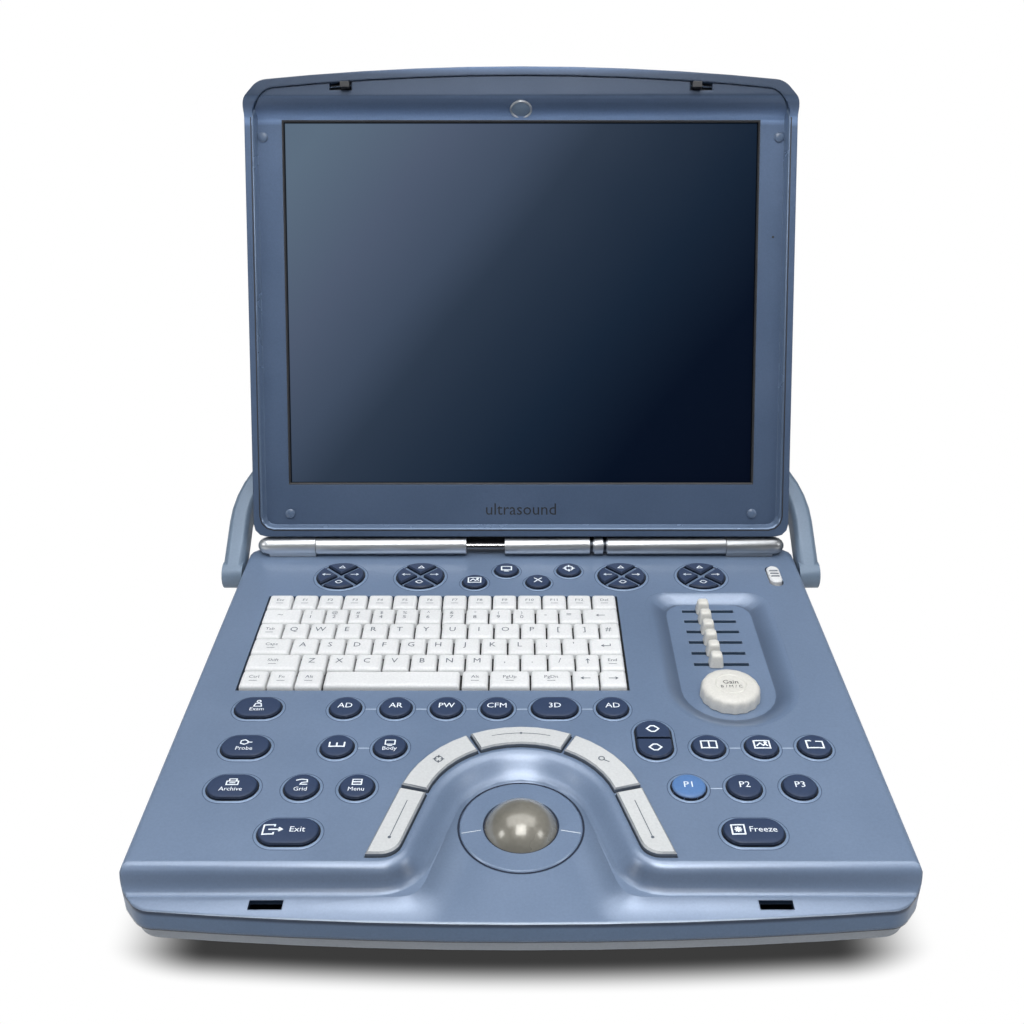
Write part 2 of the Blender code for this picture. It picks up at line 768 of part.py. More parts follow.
def arc_keys():
    """Name and outline function of each arc key, from the lower left round to the lower right."""
    between = math.degrees(ARC_KEY_GAP / 2 / ARC_OUTER)
    top = ARC_TOP_ANGLE - between
    low = ARC_TOP_ANGLE + between
    high = ARC_LEG_ANGLE - between
    return (
        ("arc_key_lower_left", lambda spread: leg_outline(-1, spread)),
        ("arc_key_upper_left", lambda spread: arc_outline(-high, -low, spread)),
        ("arc_key_top", lambda spread: arc_outline(-top, top, spread)),
        ("arc_key_upper_right", lambda spread: arc_outline(low, high, spread)),
        ("arc_key_lower_right", lambda spread: leg_outline(1, spread)),
    )


def petal(turn, spread):
    """One of the four petals of a rocker pad, about the pad's own middle."""
    apex = PETAL_GAP / math.sqrt(2) - spread * math.sqrt(2)
    radius = PAD_RADIUS + spread
    reach = (-apex + math.sqrt(2 * radius * radius - apex * apex)) / 2
    edge = math.atan2(reach, apex + reach)
    points = [(0.0, apex)]
    for step in range(PETAL_STEPS + 1):
        angle = edge - 2 * edge * step / PETAL_STEPS
        points.append((radius * math.sin(angle), radius * math.cos(angle)))
    cosine = math.cos(turn)
    sine = math.sin(turn)
    return [(x * cosine - y * sine, x * sine + y * cosine) for x, y in points]


def shift(outline, x, y):
    return [(px + x, py + y) for px, py in outline]


def hull(points):
    """Convex outline round a set of points."""
    ordered = sorted(set(points))
    chain = []
    for run in (ordered, ordered[::-1]):
        part = []
        for point in run:
            while len(part) > 1 and turn_of(part[-2], part[-1], point) <= 0:
                part.pop()
            part.append(point)
        chain += part[:-1]
    return chain


def turn_of(first, second, third):
    return ((second[0] - first[0]) * (third[1] - first[1])
            - (second[1] - first[1]) * (third[0] - first[0]))


def cap_rings(outline, rise, base):
    """Cap with a bevelled top, from the base height up; heights are over the panel."""
    return [ring(outline(0.0), base), ring(outline(0.0), rise - CAP_BEVEL),
            ring(outline(-CAP_BEVEL), rise)]


def flanged_cap(outline, rise, flange=CAP_FLANGE):
    """Cap with a flange under the panel that keeps it from coming out."""
    flange_top = -WALL - GAP
    flange_low = flange_top - CAP_FLANGE_THICK
    rings = [ring(outline(flange), flange_low), ring(outline(flange), flange_top)]
    return loft(rings + cap_rings(outline, rise, flange_top))


def key_cap(x, y, half_x, half_y, low):
    """Keyboard key that tapers from its foot to its top."""
    foot = rectangle(x, y, half_x, half_y)
    top = rectangle(x, y, half_x - KEY_TAPER, half_y - KEY_TAPER)
    return loft([ring(foot, low), ring(top, KEY_RISE)])


def round_key(x, y):
    return (x, y, ROUND_RADIUS, ROUND_RADIUS)


def wide_key(x, y):
    return (x, y, WIDE_HALF, ROUND_RADIUS)


def keypads():
    """Keys that share one silicone mat, each as middle and half sizes."""
    mode = [round_key(MODE_LEFT_X + KEY_PITCH * index, ROW_MODE_Y) for index in range(4)]
    mode += [wide_key(MODE_WIDE_X, ROW_MODE_Y), round_key(MODE_LAST_X, ROW_MODE_Y)]
    rows = (ROW_MODE_Y, ROW_MIDDLE_Y, ROW_LOWER_Y)
    left_wide = [wide_key(WIDE_LEFT_X, y) for y in rows]
    left = [round_key(LEFT_UPPER_X + KEY_PITCH * index, ROW_MIDDLE_Y) for index in range(2)]
    left += [round_key(LEFT_LOWER_X + KEY_PITCH * index, ROW_LOWER_Y) for index in range(2)]
    right = [round_key(RIGHT_UPPER_X + KEY_PITCH * index, ROW_MIDDLE_Y) for index in range(3)]
    right += [round_key(RIGHT_LOWER_X + KEY_PITCH * index, ROW_LOWER_Y) for index in range(3)]
    menu = []
    for index in range(4):
        y = MENU_BACK_Y if index % 2 else MENU_FRONT_Y
        menu.append((MENU_FIRST_X + MENU_PITCH * index, y, MENU_RADIUS, MENU_RADIUS))
    return {"mode_keypad": mode, "left_wide_keypad": left_wide, "left_round_keypad": left,
            "right_keypad": right, "menu_keypad": menu}


def front_keys():
    return {"front_key_left": -FRONT_KEY_X, "front_key_right": FRONT_KEY_X}


def pads():
    return {"rocker_pad_1": -PAD_OUTER_X, "rocker_pad_2": -PAD_INNER_X,
            "rocker_pad_3": PAD_INNER_X, "rocker_pad_4": PAD_OUTER_X}


def slider_y(index):
    return SLIDER_FIRST_Y - SLIDER_PITCH * index


def key_cells():
    """Middle and half sizes of every keyboard cell, row by row."""
    cells = []
    for row, widths in enumerate(KEY_ROWS):
        unit = (KEYS_RIGHT - KEYS_LEFT) / sum(widths)
        y = KEYS_BACK - ROW_PITCH * (row + 0.5)
        x = KEYS_LEFT
        line = []
        for width in widths:
            line.append((x + width * unit / 2, y, width * unit / 2, ROW_PITCH / 2))
            x += width * unit
        cells.append(line)
    return cells


def panel_openings():
    """Upright holes for every control, as closed bodies."""
    low = FLOOR_Z
    high = PANEL_Z + ABOVE / 2
    outlines = []
    for keys in keypads().values():
        for x, y, half_x, half_y in keys:
            outlines.append(rounded(x, y, half_x + CAP_GAP, half_y + CAP_GAP, half_y + CAP_GAP))
    for x in front_keys().values():
        outlines.append(rounded(x, FRONT_KEY_Y, FRONT_KEY_HALF + CAP_GAP, ROUND_RADIUS + CAP_GAP,
                                ROUND_RADIUS + CAP_GAP))
    outlines.append(rounded(LEVEL_X, LEVEL_Y, LEVEL_HALF_X + CAP_GAP, LEVEL_HALF_Y + CAP_GAP,
                            LEVEL_HALF_X + CAP_GAP))
    for name, outline in arc_keys():
        outlines.append(outline(CAP_GAP))
    for x in pads().values():
        for quarter in range(4):
            outlines.append(shift(petal(quarter * math.pi / 2, CAP_GAP), x, TOP_ROW_Y))
    outlines.append(rounded(SWITCH_X, SWITCH_Y, SWITCH_HALF_X + CAP_GAP,
                            SWITCH_HALF_Y + SWITCH_TRAVEL / 2 + CAP_GAP, SWITCH_HALF_X + CAP_GAP))
    outlines.append(rectangle(KEYS_X, KEYS_Y, KEYS_HALF_X + KEY_OPENING_GAP, KEYS_HALF_Y + KEY_OPENING_GAP))
    for index in range(SLIDER_COUNT):
        outlines.append(rectangle(RECESS_X, slider_y(index), SLOT_HALF, SLOT_WIDTH / 2))
    for side in (-1, 1):
        outlines.append(rectangle(side * HOOK_X, -HOOK_UP, LATCH_SLOT_HALF, LATCH_SLOT_DEPTH / 2))
    bodies = [prism(outline, low, high) for outline in outlines]
    bodies.append(rod_z(RECESS_X, KNOB_Y, KNOB_SHAFT + CAP_GAP, low, high))
    bodies.append(rod_z(0.0, BALL_Y, RING_RADIUS + GAP, low, high))
    return bodies


def skirt_openings():
    """Holes in the upright walls: handle pins, probe socket, rear connectors and fan outlet."""
    inside = BASE_HALF - ABOVE / 4
    outside = BASE_HALF + ABOVE
    rear = (BASE_REAR - ABOVE / 4, BASE_REAR + ABOVE)
    bodies = []
    for side in (-1, 1):
        bodies.append(rod_x(side * inside, side * outside, PIVOT_Y, PIVOT_Z, PIN_RADIUS + RUN_GAP))
    bodies.append(box_x(inside, outside, PROBE_Y, PROBE_HALF_Y + GAP, SIDE_PORT_Z, PROBE_HALF_Z + GAP))
    bodies.append(box_y(*rear, 0.0, IO_HALF_X + GAP, SIDE_PORT_Z, IO_HALF_Z + GAP))
    for index in range(VENT_COUNT):
        x = VENT_X + VENT_PITCH * (index - (VENT_COUNT - 1) / 2)
        bodies.append(box_y(*rear, x, VENT_HALF, SIDE_PORT_Z, IO_HALF_Z))
    return bodies


def make_top_panel(root):
    """Moulded deck: a shell with the front slope, trackball valley and slider recess sunk in it."""
    rings = [ring(base_outline(0.0), SEAM_Z + GAP), ring(base_outline(0.0), PANEL_Z - EDGE_RADIUS),
             ring(base_outline(EDGE_RADIUS * EDGE_SHARE), PANEL_Z - EDGE_RADIUS * EDGE_SHARE),
             ring(base_outline(EDGE_RADIUS), PANEL_Z)]
    panel = solid("top_panel", loft(rings), PANEL_BLUE, root)
    hollow = tool("panel_hollow", [prism(base_outline(WALL), SEAM_Z - WALL, UNDER_Z)], root)
    combine(hollow, tool("valley_under", [loft(valley_rings(UNDER_GROW, WALL))], root))
    combine(hollow, tool("recess_under", [loft(recess_rings(UNDER_GROW, WALL))], root))
    combine(panel, hollow)
    combine(panel, tool("valley", [loft(valley_rings(0.0, 0.0))], root))
    combine(panel, tool("recess", [loft(recess_rings(0.0, 0.0))], root))
    combine(panel, tool("panel_holes", panel_openings(), root))
    combine(panel, tool("skirt_holes", skirt_openings(), root))


def make_bottom_tray(root):
    """Grey tray with an undercut underside, and bosses for the main board."""
    skirt = SEAM_Z - TRAY_SKIRT
    rings = [ring(base_outline(TRAY_INSET + TRAY_UNDERCUT), FOOT_HEIGHT),
             ring(base_outline(TRAY_INSET * 2), skirt), ring(base_outline(TRAY_INSET), SEAM_Z)]
    tray = solid("bottom_tray", loft(rings), TRAY_GREY, root)
    inner = [ring(base_outline(TRAY_INSET + TRAY_UNDERCUT + WALL), FLOOR_Z),
             ring(base_outline(TRAY_INSET * 2 + WALL), skirt + WALL),
             ring(base_outline(TRAY_INSET + WALL), SEAM_Z + WALL)]
    combine(tray, tool("tray_hollow", [loft(inner)], root))
    bosses = []
    for x in (BOARD_LEFT + BOSS_INSET, BOARD_RIGHT - BOSS_INSET):
        for y in (BOARD_BACK - BOSS_INSET, BOARD_FRONT + BOSS_INSET):
            bosses.append(rod_z(x, y, BOSS_RADIUS, FLOOR_Z - WALL / 2, FLOOR_Z + BOSS_HEIGHT))
    combine(tray, tool("tray_bosses", bosses, root), "UNION")


def make_feet(root):
    profile = [(0.0, FOOT_HEIGHT - GAP), (FOOT_RADIUS, FOOT_HEIGHT - GAP),
               (FOOT_RADIUS - FOOT_FLARE, 0.0), (0.0, 0.0)]
    for side, x in (("left", -FOOT_X), ("right", FOOT_X)):
        turned("foot_front_" + side, profile, RUBBER, root, (x, FOOT_FRONT_Y, 0.0))
        turned("foot_rear_" + side, profile, RUBBER, root, (x, FOOT_REAR_Y, 0.0))


def make_main_board(root):
    low = FLOOR_Z + BOSS_HEIGHT + GAP
    high = low + BOARD_THICK
    plate = block(BOARD_LEFT, BOARD_RIGHT, BOARD_FRONT, BOARD_BACK, low, high)
    board = solid("main_board", plate, BOARD_GREEN, root)
    chips = []
    for share_x, share_y, half in BOARD_CHIPS:
        x = BOARD_LEFT + share_x * (BOARD_RIGHT - BOARD_LEFT)
        y = BOARD_FRONT + share_y * (BOARD_BACK - BOARD_FRONT)
        chips.append(block(x - half, x + half, y - half, y + half, low + STEP_EPS, high + CHIP_HEIGHT))
    combine(board, tool("board_chips", chips, root), "UNION")


def make_battery_and_drive(root):
    seat = FLOOR_Z + GAP
    pack = rounded(BATTERY_X, BATTERY_Y, BATTERY_HALF_X, BATTERY_HALF_Y, BATTERY_ROUND)
    solid("battery_pack", prism(pack, seat, seat + BATTERY_HEIGHT), DARK_PLASTIC, root)
    case = rectangle(DRIVE_X, DRIVE_Y, DRIVE_HALF_X, DRIVE_HALF_Y)
    lid = rectangle(DRIVE_X, DRIVE_Y, DRIVE_HALF_X - DRIVE_BEVEL, DRIVE_HALF_Y - DRIVE_BEVEL)
    high = seat + DRIVE_HEIGHT
    rings = [ring(case, seat), ring(case, high - DRIVE_BEVEL), ring(lid, high)]
    solid("hard_drive", loft(rings), STEEL, root)


def make_fan(root):
    """Blower: a housing with its outlet to the rear, and a rotor whose axle runs in the floor."""
    seat = FLOOR_Z + GAP
    base = seat + FAN_WALL
    body = prism(rounded(FAN_X, FAN_Y, FAN_HALF, FAN_HALF, FAN_HUB), seat, seat + FAN_HEIGHT)
    housing = solid("fan_housing", body, DARK_PLASTIC, root)
    combine(housing, tool("fan_well", [rod_z(FAN_X, FAN_Y, FAN_BORE, base, seat + ABOVE)], root))
    outlet = block(FAN_X - FAN_OUTLET_HALF, FAN_X + FAN_OUTLET_HALF, FAN_Y, FAN_Y + FAN_HALF + ABOVE,
                   base, seat + ABOVE)
    combine(housing, tool("fan_outlet", [outlet], root))
    hole = rod_z(FAN_X, FAN_Y, FAN_AXLE + RUN_GAP, seat - ABOVE, seat + ABOVE)
    combine(housing, tool("fan_axle_hole", [hole], root))

    count = FAN_BLADES * 4
    axle = []
    blades = []
    for index in range(count):
        on_blade = index % 4 < 2
        angle = 2 * math.pi * index / count
        sweep = angle + FAN_SWEEP * on_blade
        radius = FAN_BORE - FAN_TIP_GAP if on_blade else FAN_HUB
        axle.append((FAN_AXLE * math.cos(angle), FAN_AXLE * math.sin(angle)))
        blades.append((radius * math.cos(sweep), radius * math.sin(sweep)))
    low = FAN_WALL + GAP
    high = FAN_HEIGHT - FAN_WALL
    rings = [ring(axle, GAP), ring(axle, low), ring(blades, low), ring(blades, high)]
    solid("fan_rotor", loft(rings), DARK_PLASTIC, root, (FAN_X, FAN_Y, seat))


def make_ports(root):
    """Probe socket in the right wall and the connector plate in the rear wall."""
    body = box_x(BASE_HALF - PROBE_DEPTH, BASE_HALF, PROBE_Y, PROBE_HALF_Y, SIDE_PORT_Z, PROBE_HALF_Z)
    socket = solid("probe_socket", body, DARK_PLASTIC, root)
    pocket = box_x(BASE_HALF - PROBE_POCKET, BASE_HALF + ABOVE, PROBE_Y, PROBE_HALF_Y - PROBE_RIM,
                   SIDE_PORT_Z, PROBE_HALF_Z - PROBE_RIM / 2)
    combine(socket, tool("probe_pocket", [pocket], root))
    body = box_y(BASE_REAR - IO_DEPTH, BASE_REAR, 0.0, IO_HALF_X, SIDE_PORT_Z, IO_HALF_Z)
    plate = solid("rear_connectors", body, DARK_PLASTIC, root)
    pockets = []
    for x, half_x, half_z in IO_SOCKETS:
        pockets.append(box_y(BASE_REAR - IO_POCKET, BASE_REAR + ABOVE, x, half_x, SIDE_PORT_Z, half_z))
    combine(plate, tool("connector_pockets", pockets, root))


def make_front_keys(root):
    def outline(spread):
        radius = ROUND_RADIUS + spread
        return rounded(0.0, 0.0, FRONT_KEY_HALF + spread, radius, radius)
    for name, x in front_keys().items():
        solid(name, flanged_cap(outline, CAP_RISE), KEY_NAVY, root, (x, FRONT_KEY_Y, PANEL_Z))


def make_keypads(root):
    """Keys that stand on one silicone mat under the panel."""
    for name, keys in keypads().items():
        middle_x = sum(key[0] for key in keys) / len(keys)
        middle_y = sum(key[1] for key in keys) / len(keys)
        place = (middle_x, middle_y, PANEL_Z)
        corners = []
        caps = []
        for x, y, half_x, half_y in keys:
            def outline(spread):
                radius = half_y + spread
                return rounded(x - middle_x, y - middle_y, half_x + spread, radius, radius)
            corners += outline(MAT_MARGIN)
            caps.append(loft(cap_rings(outline, CAP_RISE, MAT_LOW + MAT_THICK / 2)))
        mat = solid(name, prism(hull(corners), MAT_LOW, MAT_TOP), KEY_NAVY, root, place)
        combine(mat, tool(name + "_caps", caps, root, place), "UNION")


def make_arc_keys(root):
    for name, outline in arc_keys():
        points = outline(0.0)
        middle_x = sum(point[0] for point in points) / len(points)
        middle_y = sum(point[1] for point in points) / len(points)

        def local(spread):
            return shift(outline(spread), -middle_x, -middle_y)
        cap = flanged_cap(local, ARC_KEY_RISE, ARC_FLANGE)
        solid(name, cap, KEY_WHITE, root, (middle_x, middle_y, PANEL_Z))


def make_rocker_pads(root):
    """Four petals on one round carrier, for up, down, left and right."""
    for name, x in pads().items():
        place = (x, TOP_ROW_Y, PANEL_Z)
        carrier = rod_z(0.0, 0.0, PAD_RADIUS + PAD_CARRIER_LIP, MAT_LOW, MAT_TOP)
        disc = solid(name, carrier, KEY_NAVY, root, place)
        petals = []
        for quarter in range(4):
            def outline(spread):
                return petal(quarter * math.pi / 2, spread)
            petals.append(loft(cap_rings(outline, CAP_RISE, MAT_LOW + MAT_THICK / 2)))
        combine(disc, tool(name + "_petals", petals, root, place), "UNION")


def make_level_rocker(root):
    """Up and down key: one cap with a groove across its middle."""
    def outline(spread):
        radius = LEVEL_HALF_X + spread
        return rounded(0.0, 0.0, radius, LEVEL_HALF_Y + spread, radius)
    place = (LEVEL_X, LEVEL_Y, PANEL_Z)
    rocker = solid("level_rocker", flanged_cap(outline, CAP_RISE), KEY_NAVY, root, place)
    reach = LEVEL_HALF_X + CAP_FLANGE * 2
    half = LEVEL_NOTCH / 2
    groove = block(-reach, reach, -half, half, CAP_RISE - LEVEL_NOTCH, CAP_RISE + ABOVE)
    combine(rocker, tool("level_groove", [groove], root, place))


def make_switch(root):
    """Sliding power switch with grip grooves across it."""
    def outline(spread):
        radius = SWITCH_HALF_X + spread
        return rounded(0.0, 0.0, radius, SWITCH_HALF_Y + spread, radius)
    place = (SWITCH_X, SWITCH_Y, PANEL_Z)
    switch = solid("power_switch", flanged_cap(outline, CAP_RISE), KEY_WHITE, root, place)
    reach = SWITCH_HALF_X * 2
    grooves = []
    for index in range(SWITCH_GROOVES):
        y = (index - (SWITCH_GROOVES - 1) / 2) * SWITCH_GROOVE_PITCH
        grooves.append(box_x(-reach, reach, y, SWITCH_GROOVE_PITCH / 4, CAP_RISE, CAP_BEVEL / 2))
    combine(switch, tool("switch_grooves", grooves, root, place))


def make_keyboard(root):
    """Key field on its rubber sheet, the space bar on its guide post, and the pan underneath."""
    lap = KEY_OPENING_GAP + KEY_SHEET_LAP
    sheet_top = -WALL - KEY_SHEET_DROP
    sheet_low = sheet_top - KEY_SHEET
    place = (KEYS_X, KEYS_Y, PANEL_Z)
    field = rectangle(0.0, 0.0, KEYS_HALF_X + lap, KEYS_HALF_Y + lap)
    sheet = solid("keyboard_keys", prism(field, sheet_low, sheet_top), KEY_WHITE, root, place)
    caps = []
    for row, line in enumerate(key_cells()):
        for column, (x, y, cell_x, cell_y) in enumerate(line):
            half_x = cell_x - KEY_SPACING / 2
            half_y = cell_y - KEY_SPACING / 2
            if (row, column) == (SPACE_ROW, SPACE_COLUMN):
                space = (x - KEYS_X, y - KEYS_Y, half_x, half_y)
                continue
            caps.append(key_cap(x - KEYS_X, y - KEYS_Y, half_x, half_y, sheet_low + KEY_SHEET / 2))
    combine(sheet, tool("keyboard_caps", caps, root, place), "UNION")
    space_x, space_y, half_x, half_y = space
    hole = rectangle(space_x, space_y, half_x + CAP_GAP, half_y + CAP_GAP)
    combine(sheet, tool("space_hole", [prism(hole, sheet_low - ABOVE, sheet_top + ABOVE)], root, place))

    floor_top = sheet_low - KEY_TRAVEL - KEY_SHEET_DROP
    rim_x = KEYS_HALF_X + lap + GAP
    rim_y = KEYS_HALF_Y + lap + GAP
    outer = rectangle(0.0, 0.0, rim_x + KEYBOARD_RIM, rim_y + KEYBOARD_RIM)
    body = prism(outer, floor_top - KEYBOARD_FLOOR, -WALL - GAP)
    pan = solid("keyboard_tray", body, DARK_PLASTIC, root, place)
    well = block(-rim_x, rim_x, -rim_y, rim_y, floor_top, ABOVE)
    combine(pan, tool("keyboard_well", [well], root, place))
    post_top = KEY_RISE - SPACE_ROOF - KEY_TRAVEL - GAP
    post = prism(rectangle(space_x, space_y, SPACE_POST_X, SPACE_POST_Y),
                 floor_top - KEYBOARD_FLOOR / 2, post_top)
    combine(pan, tool("space_post", [post], root, place), "UNION")

    seat = (KEYS_X + space_x, KEYS_Y + space_y, PANEL_Z)
    cap = key_cap(0.0, 0.0, half_x - SPACE_EASE, half_y - SPACE_EASE, sheet_low)
    bar = solid("space_bar", cap, KEY_WHITE, root, seat)
    guide = prism(rectangle(0.0, 0.0, SPACE_POST_X + RUN_GAP, SPACE_POST_Y + RUN_GAP),
                  sheet_low - ABOVE, KEY_RISE - SPACE_ROOF)
    combine(bar, tool("space_guide", [guide], root, seat))


def make_sliders(root):
    """Six gain sliders: tapered cap over the slot, stem through it and a shoe below."""
    cap_high = RECESS_DEPTH + SLIDER_RISE
    shoe_top = -WALL - GAP
    shoe_low = shoe_top - SLIDER_SHOE
    stem = rectangle(0.0, 0.0, SLIDER_STEM_HALF, SLOT_WIDTH / 2 - CAP_GAP)
    shoe = rectangle(0.0, 0.0, SLIDER_BASE_HALF, SLIDER_SHOE_HALF_Y)
    base = rectangle(0.0, 0.0, SLIDER_BASE_HALF, SLIDER_BASE_HALF)
    top = rectangle(0.0, 0.0, SLIDER_TOP_HALF, SLIDER_TOP_HALF)
    rings = [ring(shoe, shoe_low), ring(shoe, shoe_top), ring(stem, shoe_top), ring(stem, GAP),
             ring(base, GAP), ring(top, cap_high)]
    for index in range(SLIDER_COUNT):
        place = (RECESS_X + SLIDER_REST, slider_y(index), RECESS_Z)
        solid("gain_slider_%d" % (index + 1), loft(rings), KEY_WHITE, root, place)
    high = RECESS_Z + shoe_low - GAP
    half_x = SLOT_HALF + SLIDER_BOARD_MARGIN
    reach = SLIDER_SHOE_HALF_Y + SLIDER_BOARD_MARGIN
    board = block(RECESS_X - half_x, RECESS_X + half_x, slider_y(SLIDER_COUNT - 1) - reach,
                  slider_y(0) + reach, high - SLIDER_BOARD_THICK, high)
    solid("slider_board", board, BOARD_GREEN, root)


def make_knob(root):
    """Scalloped gain knob on its shaft, and the encoder that the shaft turns in."""
    count = KNOB_LOBES * KNOB_LOBE_STEPS

    def outline(radius, depth):
        points = []
        for index in range(count):
            angle = 2 * math.pi * index / count
            wavy = radius - depth * (1 - math.cos(KNOB_LOBES * angle)) / 2
            points.append((wavy * math.cos(angle), wavy * math.sin(angle)))
        return points

    high = RECESS_DEPTH + KNOB_RISE
    rings = [ring(outline(KNOB_SHAFT, 0.0), -WALL - KNOB_SHAFT_LENGTH), ring(outline(KNOB_SHAFT, 0.0), GAP),
             ring(outline(KNOB_RADIUS, KNOB_SCALLOP), GAP),
             ring(outline(KNOB_RADIUS - KNOB_TAPER, KNOB_SCALLOP), high - KNOB_DOME - KNOB_BEVEL),
             ring(outline(KNOB_RADIUS - KNOB_BEVEL, 0.0), high - KNOB_DOME),
             ring(outline(KNOB_RADIUS * KNOB_CROWN, 0.0), high)]
    solid("gain_knob", loft(rings), KEY_WHITE, root, (RECESS_X, KNOB_Y, RECESS_Z))
    top = RECESS_UNDER - GAP
    body = block(RECESS_X - ENCODER_HALF, RECESS_X + ENCODER_HALF, KNOB_Y - ENCODER_HALF,
                 KNOB_Y + ENCODER_HALF, top - ENCODER_HEIGHT, top)
    encoder = solid("knob_encoder", body, DARK_PLASTIC, root)
    bore = rod_z(RECESS_X, KNOB_Y, KNOB_SHAFT + RUN_GAP, top - ABOVE, top + ABOVE)
    combine(encoder, tool("encoder_bore", [bore], root))


def make_trackball(root):
    """Ball, the ring round it and the cup that carries it."""
    bm = bmesh.new()
    bmesh.ops.create_uvsphere(bm, u_segments=BALL_SEGMENTS, v_segments=BALL_RINGS, radius=BALL_RADIUS)
    ball = make_object("trackball", bm, PARTS, root, (0.0, BALL_Y, BALL_Z), math.pi)
    ball.data.materials.append(BALL_PEARL)

    place = (0.0, BALL_Y, 0.0)
    ring_low = LEDGE_Z - WALL
    ring_high = LEDGE_Z + RING_RISE
    profile = [(RING_RADIUS - RING_RISE, ring_high), (RING_RADIUS, ring_high - RING_RISE),
               (RING_RADIUS, ring_low), (RING_BORE + RING_RISE * 2, ring_low), (RING_BORE, ring_high)]
    turned("trackball_ring", profile, PANEL_BLUE, root, place, closed=True)

    flange_top = ring_low - GAP
    flange_low = flange_top - CUP_FLANGE_THICK
    inner = BALL_RADIUS + RUN_GAP * 2
    outer = inner + CUP_WALL
    bottom = flange_top - CUP_DEPTH
    first = math.asin((bottom - BALL_Z) / inner)
    pocket = []
    for step in range(CUP_STEPS + 1):
        angle = first * (1 - step / CUP_STEPS)
        pocket.append((inner * math.cos(angle), BALL_Z + inner * math.sin(angle)))
    profile = [(RING_RADIUS + CUP_FLANGE, flange_top), (RING_RADIUS + CUP_FLANGE, flange_low),
               (outer, flange_low), (outer, bottom)] + pocket + [(inner, flange_top)]
    turned("trackball_cup", profile, DARK_PLASTIC, root, place, closed=True)


def land_curve(low, high):
    """Front face of the lid in section: flat by the screen, then swelling to the land at the top."""
    points = []
    for step in range(SLOPE_STEPS + 1):
        share = step / SLOPE_STEPS
        points.append((LAND_START + LAND_RUN * share, low + (high - low) * smoothstep(share)))
    return points


def across(section):
    """Section in the lid's height and depth, run across more than its width."""
    reach = LID_HALF + ABOVE
    return loft([[(x, y, z) for y, z in section] for x in (-reach, reach)])


def make_lid_cover(pivot):
    """Back cover with a raised rim that swells to a land at the top edge."""
    rings = [ring(lid_outline(LID_BACK_ROUND), -LID_BACK),
             ring(lid_outline(LID_BACK_ROUND * EDGE_SHARE), LID_BACK_ROUND * EDGE_SHARE - LID_BACK),
             ring(lid_outline(0.0), LID_BACK_ROUND - LID_BACK),
             ring(lid_outline(0.0), LAND_FRONT + LID_BACK_ROUND)]
    cover = solid("lid_cover", loft(rings), LID_BLUE, pivot)
    far = LID_TOP + LID_BULGE + ABOVE
    front = [(-ABOVE, RIM_FRONT)] + land_curve(RIM_FRONT, LAND_FRONT)
    front += [(far, LAND_FRONT), (far, ABOVE), (-ABOVE, ABOVE)]
    combine(cover, tool("lid_front", [across(front)], pivot))
    hollow = [ring(lid_outline(RIM_WIDTH + LID_BACK_ROUND * EDGE_SHARE), LID_WALL - LID_BACK),
              ring(lid_outline(RIM_WIDTH), LID_BACK_ROUND - LID_BACK), ring(lid_outline(RIM_WIDTH), ABOVE)]
    combine(cover, tool("lid_hollow", [loft(hollow)], pivot))
    top = LID_TOP + LID_BULGE
    slot = box_y(top - RIM_WIDTH - CAP_GAP, top + ABOVE, 0.0, RELEASE_HALF + CAP_GAP,
                 0.0, RELEASE_THICK / 2 + CAP_GAP)
    combine(cover, tool("release_slot", [slot], pivot))


def make_lid_front(pivot):
    """Bezel that follows the cover's swell, with the screen behind its window."""
    far = LID_TOP + LID_BULGE + ABOVE
    face = [(0.0, BEZEL_FRONT)] + land_curve(BEZEL_FRONT, BEZEL_LAND) + [(far, BEZEL_LAND)]
    section = face + [(y, z - BEZEL_THICK) for y, z in reversed(face)]
    bezel = solid("lid_bezel", across(section), LID_BLUE, pivot)
    inside = prism(lid_outline(RIM_WIDTH + GAP), -ABOVE, ABOVE)
    combine(bezel, tool("bezel_outline", [inside], pivot), "INTERSECT")
    cuts = [block(-SCREEN_HALF, SCREEN_HALF, SCREEN_BOTTOM, SCREEN_TOP, -ABOVE, ABOVE)]
    for side in (-1, 1):
        slot = rectangle(side * HOOK_X, HOOK_UP, HOOK_SLOT_HALF, HOOK_SLOT_HEIGHT / 2)
        cuts.append(prism(slot, -ABOVE, ABOVE))
    combine(bezel, tool("bezel_windows", cuts, pivot))
    glass = BEZEL_FRONT - BEZEL_THICK - GAP
    screen = block(-SCREEN_HALF - LCD_MARGIN, SCREEN_HALF + LCD_MARGIN, SCREEN_BOTTOM - LCD_MARGIN,
                   SCREEN_TOP + LCD_MARGIN / 2, glass - LCD_THICK, glass)
    solid("lcd_panel", screen, SCREEN_GLASS, pivot)


